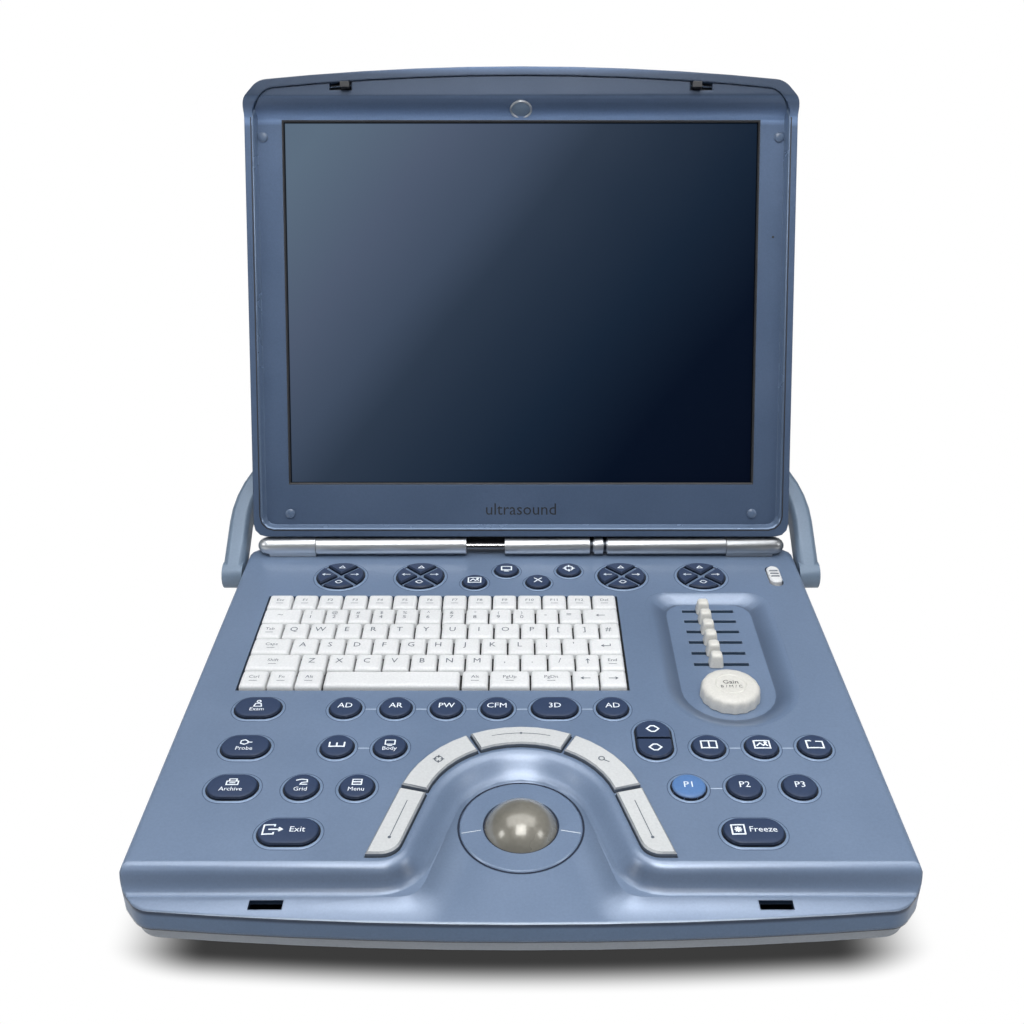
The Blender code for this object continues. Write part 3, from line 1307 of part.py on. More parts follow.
def make_latch_hooks(pivot):
    """Two sliding hooks, each on a plate behind the bezel."""
    behind = BEZEL_LAND - BEZEL_THICK - GAP
    tip = BEZEL_LAND + HOOK_REACH
    lip = tip - HOOK_LIP_HEIGHT
    inner = HOOK_SLOT_HALF - CAP_GAP - HOOK_LIP
    outer = HOOK_SLOT_HALF - CAP_GAP - HOOK_WIDTH
    half = HOOK_THICK / 2

    def bar(left, right, low=-half, high=half):
        return [(left, low), (right, low), (right, high), (left, high)]

    plate = bar(outer - HOOK_PLATE_OUT, inner + HOOK_PLATE_IN, -HOOK_PLATE_LOW, HOOK_PLATE_HIGH)
    levels = ((plate, behind - HOOK_PLATE), (plate, behind), (bar(outer, inner), behind),
              (bar(outer, inner), lip), (bar(outer, inner + HOOK_LIP), lip),
              (bar(outer, inner + HOOK_LIP / 2), tip))
    for name, side in (("latch_hook_left", -1), ("latch_hook_right", 1)):
        rings = [[(-side * x, y, z) for x, y in points] for points, z in levels]
        solid(name, loft(rings), DARK_PLASTIC, pivot, (side * HOOK_X, HOOK_UP, 0.0))


def make_lid_release(pivot):
    """Push button in the middle of the lid's top edge, with a flange inside the rim."""
    flange_high = -RIM_WIDTH - GAP
    half_x = RELEASE_HALF
    half_z = RELEASE_THICK / 2
    wide_x = half_x + RELEASE_FLANGE
    wide_z = half_z + RELEASE_FLANGE
    levels = ((wide_x, wide_z, flange_high - RELEASE_FLANGE), (wide_x, wide_z, flange_high),
              (half_x, half_z, flange_high), (half_x, half_z, RELEASE_PROUD))
    rings = []
    for reach_x, reach_z, y in levels:
        rings.append([(x, y, z) for x, z in rectangle(0.0, 0.0, reach_x, reach_z)])
    solid("lid_release", loft(rings), DARK_PLASTIC, pivot, (0.0, LID_TOP + LID_BULGE, 0.0))


def make_hinge_covers(pivot):
    """Barrel covers that turn with the lid on the shaft; the right one has two ring grooves."""
    bore = SHAFT_RADIUS + RUN_GAP
    spans = (("hinge_cover_left", -COVER_END, -COVER_INNER_LEFT, ()),
             ("hinge_cover_right", -COVER_INNER_RIGHT, COVER_END, RING_GROOVES))
    for name, start, end, grooves in spans:
        points = [(HINGE_RADIUS, end)]
        for middle in sorted(grooves, reverse=True):
            high = middle + GROOVE_WIDTH / 2
            low = middle - GROOVE_WIDTH / 2
            floor = HINGE_RADIUS - GROOVE_DEPTH
            points += [(HINGE_RADIUS, high), (floor, high), (floor, low), (HINGE_RADIUS, low)]
        points += [(HINGE_RADIUS, start), (bore, start), (bore, end)]
        turned(name, points, HINGE_SILVER, pivot, (0.0, 0.0, 0.0), closed=True, along_x=True)


def make_hinge_base(root):
    """End caps that stand on the panel and hold the shaft."""
    inner = COVER_END + GAP
    straight = CAP_END - CAP_NOSE
    place = (0.0, 0.0, HINGE_Z)
    for name, side in (("hinge_cap_left", -1), ("hinge_cap_right", 1)):
        profile = []
        for step in range(CAP_NOSE_STEPS + 1):
            angle = math.pi / 2 * (1 - step / CAP_NOSE_STEPS)
            profile.append((HINGE_RADIUS * math.cos(angle), straight + CAP_NOSE * math.sin(angle)))
        profile += [(HINGE_RADIUS, inner), (0.0, inner)]
        cap = turned(name, profile, HINGE_SILVER, root, place, along_x=True)
        cap.rotation_euler[1] *= side
        seat = block(side * (inner + GAP), side * straight, -HINGE_SEAT_HALF, HINGE_SEAT_HALF,
                     GAP - HINGE_RISE, 0.0)
        combine(cap, tool(name + "_seat", [seat], root, place), "UNION")
        socket = rod_x(side * (inner - ABOVE), side * (inner + SHAFT_SOCKET), 0.0, 0.0,
                       SHAFT_RADIUS + RUN_GAP)
        combine(cap, tool(name + "_socket", [socket], root, place))
    end = inner + SHAFT_SOCKET - GAP
    solid("hinge_shaft", rod_x(-end, end, 0.0, 0.0, SHAFT_RADIUS), STEEL, root, place)


def make_handle(pivot):
    """Bail handle swept round two large corners, with eyes on the side pins."""
    path = [(HANDLE_MID, 0.0, 0.0)]
    for step in range(HANDLE_STEPS + 1):
        angle = math.pi / 2 * step / HANDLE_STEPS
        x = HANDLE_MID - HANDLE_CORNER + HANDLE_CORNER * math.cos(angle)
        path.append((x, HANDLE_ARM + HANDLE_CORNER * math.sin(angle), angle))
    path += [(-x, y, math.pi - angle) for x, y, angle in reversed(path)]
    section = rounded(0.0, 0.0, HANDLE_THICK / 2, HANDLE_DEPTH / 2, HANDLE_EDGE, HANDLE_SIDES)
    rings = []
    for x, y, angle in path:
        rings.append([(x + out * math.cos(angle), y + out * math.sin(angle), up) for out, up in section])
    handle = solid("handle", loft(rings), HANDLE_BLUE, pivot)
    eyes = []
    holes = []
    counterbores = []
    for side in (-1, 1):
        inner = side * (HANDLE_INNER + GAP)
        outer = side * (HANDLE_INNER + HANDLE_THICK - GAP)
        shoulder = outer - side * PIN_HEAD
        eyes.append(rod_x(inner, outer, 0.0, 0.0, HANDLE_EYE))
        holes.append(rod_x(inner - side * ABOVE, outer + side * ABOVE, 0.0, 0.0, PIN_RADIUS + RUN_GAP))
        counterbores.append(rod_x(shoulder, outer + side * ABOVE, 0.0, 0.0, PIN_HEAD_RADIUS + RUN_GAP))
    combine(handle, tool("handle_eyes", eyes, pivot), "UNION")
    combine(handle, tool("handle_holes", holes, pivot))
    combine(handle, tool("handle_counterbores", counterbores, pivot))


def make_handle_pins(root):
    """Pins with sunk heads through the handle's eyes, clipped inside the panel's side walls."""
    outside = HANDLE_INNER + HANDLE_THICK - GAP
    under_head = outside - PIN_HEAD + GAP
    inside = BASE_HALF - WALL - GAP
    profile = [(0.0, outside), (PIN_HEAD_RADIUS, outside),
               (PIN_HEAD_RADIUS, under_head), (PIN_RADIUS, under_head), (PIN_RADIUS, inside),
               (PIN_CLIP_RADIUS, inside), (PIN_CLIP_RADIUS, inside - PIN_CLIP), (0.0, inside - PIN_CLIP)]
    for name, side in (("handle_pin_left", -1), ("handle_pin_right", 1)):
        pin = turned(name, profile, HANDLE_BLUE, root, (0.0, PIVOT_Y, PIVOT_Z), along_x=True)
        pin.rotation_euler[1] *= side


def centre_part(root):
    """Move the whole part so that its box stands centred on the origin."""
    bpy.context.view_layer.update()
    view = bpy.context.evaluated_depsgraph_get()
    depths = []
    for item in PARTS.objects:
        if item.type == "MESH":
            shape = item.evaluated_get(view)
            depths += [(shape.matrix_world @ vertex.co).y for vertex in shape.data.vertices]
    root.location.y = -(min(depths) + max(depths)) / 2


def main():
    root = new_empty("scanner_root", (0.0, 0.0, 0.0))
    lid_pivot = new_empty("lid_pivot", (0.0, 0.0, HINGE_Z), root, math.pi / 2 - LID_LEAN)
    handle_pivot = new_empty("handle_pivot", (0.0, PIVOT_Y, PIVOT_Z), root, HANDLE_LIFT)
    base_makers = (make_top_panel, make_bottom_tray, make_feet, make_main_board, make_battery_and_drive,
                   make_fan, make_ports, make_front_keys, make_keypads, make_arc_keys, make_rocker_pads,
                   make_level_rocker, make_switch, make_keyboard, make_sliders, make_knob, make_trackball,
                   make_hinge_base, make_handle_pins)
    for maker in base_makers:
        maker(root)
    for maker in (make_lid_cover, make_lid_front, make_latch_hooks, make_lid_release, make_hinge_covers):
        maker(lid_pivot)
    make_handle(handle_pivot)
    centre_part(root)


main()
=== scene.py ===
import json
import math

import bmesh
import bpy
from mathutils import Matrix, Vector
from mathutils.bvhtree import BVHTree
from mathutils.geometry import convex_hull_2d


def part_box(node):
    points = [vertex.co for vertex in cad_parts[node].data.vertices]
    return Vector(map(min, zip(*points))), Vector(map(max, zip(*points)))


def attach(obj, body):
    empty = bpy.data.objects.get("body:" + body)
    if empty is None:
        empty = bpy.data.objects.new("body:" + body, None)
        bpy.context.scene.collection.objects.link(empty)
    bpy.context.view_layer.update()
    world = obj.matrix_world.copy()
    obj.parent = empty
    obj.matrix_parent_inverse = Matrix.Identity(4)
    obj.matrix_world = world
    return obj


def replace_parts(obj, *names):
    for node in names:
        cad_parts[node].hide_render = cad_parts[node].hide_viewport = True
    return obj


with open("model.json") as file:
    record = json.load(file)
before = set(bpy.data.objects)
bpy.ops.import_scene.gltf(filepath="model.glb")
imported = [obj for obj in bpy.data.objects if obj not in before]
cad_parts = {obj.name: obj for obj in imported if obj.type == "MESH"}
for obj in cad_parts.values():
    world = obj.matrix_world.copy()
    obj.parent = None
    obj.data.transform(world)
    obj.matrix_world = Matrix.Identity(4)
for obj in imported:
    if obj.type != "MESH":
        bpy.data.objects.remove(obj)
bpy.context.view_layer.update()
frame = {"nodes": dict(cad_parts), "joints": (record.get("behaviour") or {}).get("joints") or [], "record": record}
NODES = frame["nodes"]
JOINTS = {joint["name"]: joint for joint in frame["joints"]}

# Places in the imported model: the hinge from its joint, the heights as in the part's source
HINGE = Vector(JOINTS["lid_hinge"]["pos_m"])
LID_TILT = math.radians(67.5)
LID = Matrix.Translation(HINGE) @ Matrix.Rotation(LID_TILT, 4, "X")
PANEL_Z = 0.046
LEDGE_Z = 0.037
FRONT_BOW = 0.0076

# Thin layers over the solids
INK_LIFT = 0.00007
LINE_LIFT = 0.00005

HINGE_GROOVES = (0.0457, 0.0544)
KNOB = Vector(JOINTS["gain_knob_turn"]["pos_m"])
RECESS_REACH = 0.043

# Front slope and the valley of the trackball
BALL = Vector(JOINTS["trackball_roll"]["pos_m"])
LEG_ANGLE = math.radians(75.0)
VALLEY_RADIUS = 0.0445
VALLEY_BLEND = 0.014
SLOPE_TOP_Y = HINGE.y - 0.27
SLOPE_RUN = 0.0122
COVE_TILT = 0.86
COVE_WIDTH = 0.016


# Node graphs

class Graph:
    """A material's node tree, with short ways to add and join nodes."""

    def __init__(self, name):
        self.material = bpy.data.materials.new(name)
        self.material.use_nodes = True
        self.tree = self.material.node_tree
        self.tree.nodes.clear()
        self.out = self.add("ShaderNodeOutputMaterial")
        self.coords = self.add("ShaderNodeTexCoord").outputs["Object"]

    def add(self, kind, **settings):
        node = self.tree.nodes.new(kind)
        for key, value in settings.items():
            setattr(node, key, value)
        return node

    def put(self, socket, value):
        if isinstance(value, bpy.types.NodeSocket):
            self.tree.links.new(value, socket)
        elif socket.type == "RGBA" and len(value) == 3:
            socket.default_value = (*value, 1.0)
        else:
            socket.default_value = value

    def noise(self, scale, detail=2.0, vector=None):
        node = self.add("ShaderNodeTexNoise")
        self.put(node.inputs["Vector"], vector or self.coords)
        self.put(node.inputs["Scale"], scale)
        self.put(node.inputs["Detail"], detail)
        return node.outputs["Fac"]

    def stretched(self, scale):
        node = self.add("ShaderNodeMapping")
        self.put(node.inputs["Vector"], self.coords)
        self.put(node.inputs["Scale"], scale)
        return node.outputs["Vector"]

    def remap(self, value, low, high, to_low, to_high, curve="LINEAR"):
        node = self.add("ShaderNodeMapRange", interpolation_type=curve)
        for socket, item in zip(node.inputs, (value, low, high, to_low, to_high)):
            self.put(socket, item)
        return node.outputs["Result"]

    def mix(self, factor, first, second, blend="MIX"):
        node = self.add("ShaderNodeMix", data_type="RGBA", blend_type=blend)
        self.put(node.inputs["Factor"], factor)
        self.put(node.inputs[6], first)
        self.put(node.inputs[7], second)
        return node.outputs[2]

    def math(self, operation, first, second=0.0, third=0.0):
        node = self.add("ShaderNodeMath", operation=operation)
        for socket, value in zip(node.inputs, (first, second, third)):
            self.put(socket, value)
        return node.outputs[0]

    def ramp(self, value, stops):
        """Colour by value, from steps of place and colour."""
        node = self.add("ShaderNodeValToRGB")
        elements = node.color_ramp.elements
        while len(elements) < len(stops):
            elements.new(0.5)
        for element, (place, color) in zip(elements, stops):
            element.position = place
            element.color = (*color, 1.0)
        self.put(node.inputs["Fac"], value)
        return node.outputs["Color"]

    def levels(self, value, stops):
        """Grey level by value, from steps of place and level."""
        return self.ramp(value, [(place, (level, level, level)) for place, level in stops])

    def axis(self, vector, name):
        node = self.add("ShaderNodeSeparateXYZ")
        self.put(node.inputs[0], vector)
        return node.outputs[name]

    def normal(self, name):
        return self.axis(self.add("ShaderNodeNewGeometry").outputs["True Normal"], name)


def satin(name, color, roughness, metallic=0.0, grain=1500.0, depth=0.000012, wear=0.25, rim=0.0005,
          coat=0.0, gloss=0.12, mottle=0.05, graph=None, spread=0.06, shine=0.5, roll=None):
    """Moulded or painted surface: fine grain, cloudy colour, uneven gloss and rounded edges, lightened in colour
    partly as rubbed wear and partly as a painted highlight.
    """
    g = graph or Graph(name)
    bevel = g.add("ShaderNodeBevel", samples=4)
    g.put(bevel.inputs["Radius"], rim)
    normal = bevel.outputs["Normal"]
    geometry = g.add("ShaderNodeNewGeometry")
    # Edges lightened towards pale grey: partly rubbed wear, broken up by scratch noise, partly a painted
    # highlight; wear sets how strong both are.
    facing = g.add("ShaderNodeVectorMath", operation="DOT_PRODUCT")
    g.put(facing.inputs[0], bevel.outputs["Normal"])
    g.put(facing.inputs[1], geometry.outputs["Normal"])
    edge = g.remap(facing.outputs["Value"], 0.98, 0.80, 0.0, 1.0)
    scratch = g.remap(g.noise(140.0, 6.0), 0.35, 0.65, 0.3, 1.0)
    edge = g.math("MULTIPLY", g.math("MULTIPLY", edge, scratch), wear)
    cloud = g.remap(g.noise(9.0, 3.0), 0.3, 0.7, 1.0 - mottle, 1.0 + mottle)
    speckle = g.remap(g.noise(grain * 0.6, 1.0), 0.25, 0.75, 1.0 - mottle, 1.0 + mottle)
    tone = g.math("MULTIPLY", cloud, speckle)
    shade = g.mix(1.0, color, tone, "MULTIPLY")
    shade = g.mix(edge, shade, (0.75, 0.80, 0.86))
    bump = g.add("ShaderNodeBump")
    g.put(bump.inputs["Strength"], 1.0)
    g.put(bump.inputs["Distance"], depth)
    g.put(bump.inputs["Height"], g.noise(grain, 3.0))
    g.put(bump.inputs["Normal"], roll(g, normal) if roll else normal)
    shader = g.add("ShaderNodeBsdfPrincipled")
    g.put(shader.inputs["Base Color"], shade)
    g.put(shader.inputs["Specular IOR Level"], shine)
    g.put(shader.inputs["Metallic"], metallic)
    uneven = g.remap(g.noise(35.0, 4.0), 0.3, 0.7, roughness - spread, roughness + spread)
    g.put(shader.inputs["Roughness"], uneven)
    g.put(shader.inputs["Normal"], bump.outputs["Normal"])
    g.put(shader.inputs["Coat Weight"], coat)
    g.put(shader.inputs["Coat Roughness"], gloss)
    g.put(g.out.inputs["Surface"], shader.outputs[0])
    return g.material


def brushed(name, color, roughness, direction, wear=0.1):
    """Metal with fine lines along one direction."""
    g = Graph(name)
    lines = g.noise(1.0, 4.0, g.stretched(direction))
    tone = g.remap(lines, 0.3, 0.7, 0.82, 1.08)
    shader = g.add("ShaderNodeBsdfPrincipled")
    bevel = g.add("ShaderNodeBevel", samples=4)
    g.put(bevel.inputs["Radius"], 0.0004)
    bump = g.add("ShaderNodeBump")
    g.put(bump.inputs["Distance"], 0.00001)
    g.put(bump.inputs["Height"], lines)
    g.put(bump.inputs["Normal"], bevel.outputs["Normal"])
    smear = g.remap(g.noise(60.0, 4.0), 0.3, 0.7, roughness - wear, roughness + wear)
    g.put(shader.inputs["Base Color"], g.mix(1.0, color, tone, "MULTIPLY"))
    g.put(shader.inputs["Metallic"], 1.0)
    g.put(shader.inputs["Roughness"], smear)
    g.put(shader.inputs["Normal"], bump.outputs["Normal"])
    g.put(g.out.inputs["Surface"], shader.outputs[0])
    return g.material


def top_and_painted_shade_flanks(name, side, top, roughness, low=0.55, high=0.92, **rest):
    """Cap that is one colour on its top and a darker one on its flanks, the flanks' colour being painted shade."""
    g = Graph(name)
    factor = g.remap(g.normal("Z"), low, high, 0.0, 1.0)
    return satin(name, g.mix(factor, side, top), roughness, graph=g, **rest)


def ink(name, color, roughness=0.45):
    return satin(name, color, roughness, depth=0.000003, wear=0.0, rim=0.00002, mottle=0.04)


def screen_glass(name, half_x, low, high, border):
    """Dark display behind glass: a painted reflection as a slanted sheen given off as emission, a black border and
    faint smears.
    """
    g = Graph(name)
    local = g.add("ShaderNodeMapping")
    turn = Matrix.Rotation(-LID_TILT, 3, "X")
    g.put(local.inputs["Vector"], g.coords)
    g.put(local.inputs["Rotation"], (-LID_TILT, 0.0, 0.0))
    g.put(local.inputs["Location"], tuple(-(turn @ HINGE)))
    x = g.axis(local.outputs["Vector"], "X")
    y = g.axis(local.outputs["Vector"], "Y")
    across = g.remap(x, -half_x, half_x, 0.0, 1.0)
    down = g.remap(y, high, low, 0.0, 1.0)
    # Painted reflection: a sheen lighter at the upper left, fading to black at the lower right.
    slant = g.math("ADD", g.math("MULTIPLY", across, 0.625), g.math("MULTIPLY", down, 0.375))
    wave = g.math("ADD", slant, g.remap(g.noise(5.0, 2.0), 0.0, 1.0, -0.02, 0.02))
    stops = ((0.06, (0.104, 0.150, 0.208)), (0.22, (0.076, 0.102, 0.158)), (0.34, (0.050, 0.072, 0.116)),
             (0.42, (0.026, 0.041, 0.069)), (0.52, (0.016, 0.028, 0.051)), (0.64, (0.007, 0.016, 0.034)),
             (0.80, (0.0004, 0.003, 0.012)), (1.0, (0.0002, 0.0015, 0.008)))
    sheen = g.ramp(wave, stops)
    edge_x = g.remap(g.math("ABSOLUTE", x), half_x - border, half_x - border * 0.7, 0.0, 1.0)
    middle = (low + high) / 2
    edge_y = g.remap(g.math("ABSOLUTE", g.math("SUBTRACT", y, middle)),
                     (high - low) / 2 - border, (high - low) / 2 - border * 0.7, 0.0, 1.0)
    rim = g.math("MAXIMUM", edge_x, edge_y)
    picture = g.mix(rim, sheen, (0.001, 0.0012, 0.0016))
    shader = g.add("ShaderNodeBsdfPrincipled")
    g.put(shader.inputs["Base Color"], (0.002, 0.003, 0.005))
    # The painted reflection glows as emission.
    g.put(shader.inputs["Emission Color"], picture)
    g.put(shader.inputs["Emission Strength"], 1.0)
    g.put(shader.inputs["Specular IOR Level"], 0.03)
    smear = g.remap(g.noise(22.0, 5.0), 0.3, 0.7, 0.16, 0.26)
    g.put(shader.inputs["Roughness"], smear)
    g.put(g.out.inputs["Surface"], shader.outputs[0])
    return g.material


PANEL_BLUE = (0.156, 0.222, 0.340)


def edge_depth(g):
    """Distance in from the panel's front and side edges."""
    low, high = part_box("top_panel")
    x = g.math("ABSOLUTE", g.axis(g.coords, "X"))
    bow = g.math("MULTIPLY", g.math("POWER", g.math("DIVIDE", x, high.x), 2.0), FRONT_BOW)
    inside_x = g.math("SUBTRACT", high.x, x)
    inside_y = g.math("SUBTRACT", g.math("SUBTRACT", g.axis(g.coords, "Y"), bow), low.y)
    return g.math("MINIMUM", inside_x, inside_y)


def off_recess(g):
    """One on the panel, nought in the recess of the gain controls."""
    x = g.math("SUBTRACT", g.axis(g.coords, "X"), KNOB.x)
    y = g.math("SUBTRACT", g.axis(g.coords, "Y"), KNOB.y)
    across = g.math("LESS_THAN", g.math("ABSOLUTE", x), RECESS_REACH)
    behind = g.math("GREATER_THAN", y, -RECESS_REACH)
    return g.math("SUBTRACT", 1.0, g.math("MULTIPLY", across, behind))


def past_foot(g):
    """Distance out from the foot of the slope, over the ledge and the trackball's valley."""
    x = g.math("ABSOLUTE", g.axis(g.coords, "X"))
    y = g.axis(g.coords, "Y")
    ahead = g.math("SUBTRACT", y, BALL.y)
    away = g.math("SQRT", g.math("ADD", g.math("POWER", x, 2.0), g.math("MULTIPLY", ahead, ahead)))
    sine, cosine = math.sin(LEG_ANGLE), math.cos(LEG_ANGLE)
    along = g.math("ADD", g.math("MULTIPLY", x, sine), g.math("MULTIPLY", ahead, cosine))
    on_leg = g.math("LESS_THAN", g.math("MULTIPLY", ahead, sine), g.math("MULTIPLY", x, cosine))
    inner = g.math("ADD", away, g.math("MULTIPLY", g.math("SUBTRACT", along, away), on_leg))
    valley = g.math("SUBTRACT", VALLEY_RADIUS, inner)
    front = g.math("SUBTRACT", SLOPE_TOP_Y, y)
    return g.math("SUBTRACT", g.math("SMOOTH_MAX", valley, front, VALLEY_BLEND), SLOPE_RUN)


def rolled(g, normal):
    """Normals of a slope that rolls over from the panel and runs out in a wide cove on the ledge."""
    height = g.axis(g.coords, "Z")
    share = g.remap(height, LEDGE_Z, PANEL_Z, 0.0, 1.0)
    front = g.remap(g.axis(g.coords, "Y"), SLOPE_TOP_Y - 0.001, SLOPE_TOP_Y + 0.008, 1.85, 0.90)
    steep = g.remap(share, 0.5, 1.0, front, 0.95)
    foot = g.math("MULTIPLY", g.math("POWER", g.math("MAXIMUM", share, 0.004), -0.5), COVE_TILT * 0.42)
    lean = g.math("MAXIMUM", steep, foot)
    inside = g.math("MULTIPLY", g.remap(share, 0.0005, 0.002, 0.0, 1.0),
                    g.remap(share, 0.985, 0.998, 1.0, 0.0))
    inside = g.math("MULTIPLY", inside, off_recess(g))
    lean = g.math("ADD", g.math("MULTIPLY", g.math("SUBTRACT", lean, 1.0), inside), 1.0)
    scale = g.add("ShaderNodeCombineXYZ")
    g.put(scale.inputs["X"], lean)
    g.put(scale.inputs["Y"], lean)
    g.put(scale.inputs["Z"], 1.0)
    leant = g.add("ShaderNodeVectorMath", operation="MULTIPLY")
    g.put(leant.inputs[0], normal)
    g.put(leant.inputs[1], scale.outputs[0])
    near = g.remap(past_foot(g), 0.0, COVE_WIDTH, 1.0, 0.0)
    cove = g.add("ShaderNodeBump")
    g.put(cove.inputs["Strength"], 1.0)
    g.put(cove.inputs["Distance"], COVE_TILT * COVE_WIDTH / 2)
    g.put(cove.inputs["Height"], g.math("MULTIPLY", near, near))
    g.put(cove.inputs["Normal"], normal)
    flat = g.math("MULTIPLY", g.remap(height, LEDGE_Z + 0.00001, LEDGE_Z + 0.00003, 1.0, 0.0),
                  g.remap(height, LEDGE_Z - 0.0004, LEDGE_Z - 0.0002, 0.0, 1.0))
    either = g.add("ShaderNodeMix", data_type="VECTOR")
    g.put(either.inputs[0], flat)
    g.put(either.inputs[4], leant.outputs[0])
    g.put(either.inputs[5], cove.outputs["Normal"])
    unit = g.add("ShaderNodeVectorMath", operation="NORMALIZE")
    g.put(unit.inputs[0], either.outputs[1])
    return unit.outputs[0]


def panel_paint():
    """Metallic blue, with painted shade on the upright sides, a painted highlight line and a painted shade line
    along the front edge, painted shade on the walls of the gain recess and a painted dark band across the front
    slope.
    """
    g = Graph("panel_paint")
    top = g.remap(g.normal("Z"), 0.10, 0.50, 0.0, 1.0)
    depth = edge_depth(g)
    height = g.axis(g.coords, "Z")
    low = g.remap(height, LEDGE_Z + 0.0002, LEDGE_Z + 0.0004, 1.0, 0.0)
    # Painted highlight: a pale line along the top of the ledge's outer edge.
    bright = g.math("MULTIPLY", g.math("MULTIPLY", g.remap(depth, 0.0002, 0.0014, 0.8, 0.0), top), low)
    # Painted shade on the upright sides: a darker copy of the panel's blue, with a still darker band along their
    # top, just under the ledge's edge.
    dark = g.math("MULTIPLY", g.remap(height, LEDGE_Z - 0.0030, LEDGE_Z - 0.0014, 0.0, 0.9), low)
    side = g.mix(dark, (0.072, 0.114, 0.188), (0.010, 0.020, 0.044))
    face = g.mix(bright, PANEL_BLUE, (0.66, 0.76, 0.88))
    # Painted shade on the walls of the gain recess that do not face the front, darkest near their foot.
    dip = g.remap(height, KNOB.z, PANEL_Z, 0.0, 1.0)
    inside = g.math("SUBTRACT", 1.0, off_recess(g))
    slope = g.math("MULTIPLY", inside, g.remap(dip, 0.002, 0.01, 0.0, 1.0))
    lit = g.remap(g.normal("Y"), -0.30, -0.10, 0.0, 1.0)
    shade = g.math("MULTIPLY", g.math("MULTIPLY", slope, lit), g.remap(dip, 0.0, 0.9, 0.70, 0.0))
    face = g.mix(shade, face, (0.045, 0.070, 0.118))
    # Painted shade: a dark band across the middle of the front slope, in front of the slope's top line.
    fall = g.remap(height, LEDGE_Z, PANEL_Z, 0.0, 1.0)
    band = g.math("MULTIPLY", g.remap(fall, 0.04, 0.40, 0.0, 1.0), g.remap(fall, 0.60, 0.92, 1.0, 0.0))
    ahead = g.remap(g.axis(g.coords, "Y"), SLOPE_TOP_Y, SLOPE_TOP_Y + 0.004, 0.42, 0.0)
    band = g.math("MULTIPLY", band, ahead)
    face = g.mix(band, face, (0.045, 0.070, 0.118))
    rim = g.remap(depth, 0.0035, 0.0055, 0.0026, 0.0008)
    return satin("panel_paint", g.mix(top, side, face), 0.36, metallic=0.20, wear=0.10, rim=rim,
                 shine=g.remap(top, 0.0, 1.0, 0.3, 1.0), coat=g.math("MULTIPLY", top, 0.55), gloss=0.28,
                 graph=g, roll=rolled)


# Grey levels of the painted shading and highlight in the hollow above the screen, by share of its height.
LID_TOP_LEVELS = ((0.0, 0.50), (0.07, 0.90), (0.15, 0.90), (0.22, 0.70), (0.29, 0.52), (0.38, 0.40),
                  (0.50, 0.38), (0.53, 0.24), (0.84, 0.22), (0.90, 0.40), (1.0, 0.85))


def lid_paint():
    """The panel's blue made darker as painted shade, lighter towards the top as painted light, with the painted
    shading of the hollow above the screen.
    """
    g = Graph("lid_paint")
    height = g.axis(g.coords, "Z")
    # Painted shading: darker towards the bottom of the lid, lighter towards the top of the screen.
    tone = g.remap(height, 0.06, 0.298, 0.88, 1.14)
    hollow = g.levels(g.remap(height, 0.298, 0.334, 0.0, 1.0), LID_TOP_LEVELS)
    front = g.remap(g.normal("Y"), -0.5, -0.2, 1.0, 0.0)
    change = g.math("SUBTRACT", g.math("MULTIPLY", hollow, 2.0), 1.0)
    hollow = g.math("ADD", 1.0, g.math("MULTIPLY", front, change))
    # The panel's blue made darker, as painted shade.
    color = g.mix(1.0, (0.073, 0.112, 0.190), g.math("MULTIPLY", tone, hollow), "MULTIPLY")
    return satin("lid_paint", color, 0.40, metallic=0.25, wear=0.03, rim=0.0012, shine=0.4, graph=g)


def hinge_silver():
    """Satin aluminium, darker towards the right end as painted shade, with painted shade in its two grooves."""
    g = Graph("hinge_silver")
    x = g.axis(g.coords, "X")
    # Painted shade: darker towards the right end.
    tone = g.remap(x, -0.17, 0.17, 1.14, 0.58)
    color = g.mix(1.0, (0.58, 0.60, 0.62), tone, "MULTIPLY")
    # Painted shade in the two grooves.
    for place in HINGE_GROOVES:
        away = g.math("ABSOLUTE", g.math("SUBTRACT", x, place))
        color = g.mix(g.remap(away, 0.0008, 0.0012, 1.0, 0.0), color, (0.035, 0.040, 0.048))
    return satin("hinge_silver", color, 0.34, metallic=0.85, grain=2500.0, depth=0.000004, wear=0.0,
                 mottle=0.02, graph=g)


# Grey levels of the painted reflection round the shaft, by the height of its normal.
SHAFT_REFLECTION_LEVELS = ((0.40, 0.16), (0.52, 0.012), (0.66, 0.012), (0.69, 0.85), (0.84, 0.90), (0.90, 0.14),
                (1.0, 0.07))


def shaft_chrome():
    """Polished shaft: a painted reflection of dark and bright bands round it, as a dark room and a lamp would
    give.
    """
    g = Graph("shaft_chrome")
    bands = g.levels(g.remap(g.normal("Z"), -1.0, 1.0, 0.0, 1.0), SHAFT_REFLECTION_LEVELS)
    return satin("shaft_chrome", bands, 0.20, metallic=0.8, grain=2500.0, depth=0.000002,
                 wear=0.0, mottle=0.02, graph=g)


PAINT = panel_paint()
RING_PAINT = satin("ring_paint", PANEL_BLUE, 0.36, metallic=0.20, wear=0.10, rim=0.0006, coat=0.30,
                   gloss=0.30, shine=1.0)
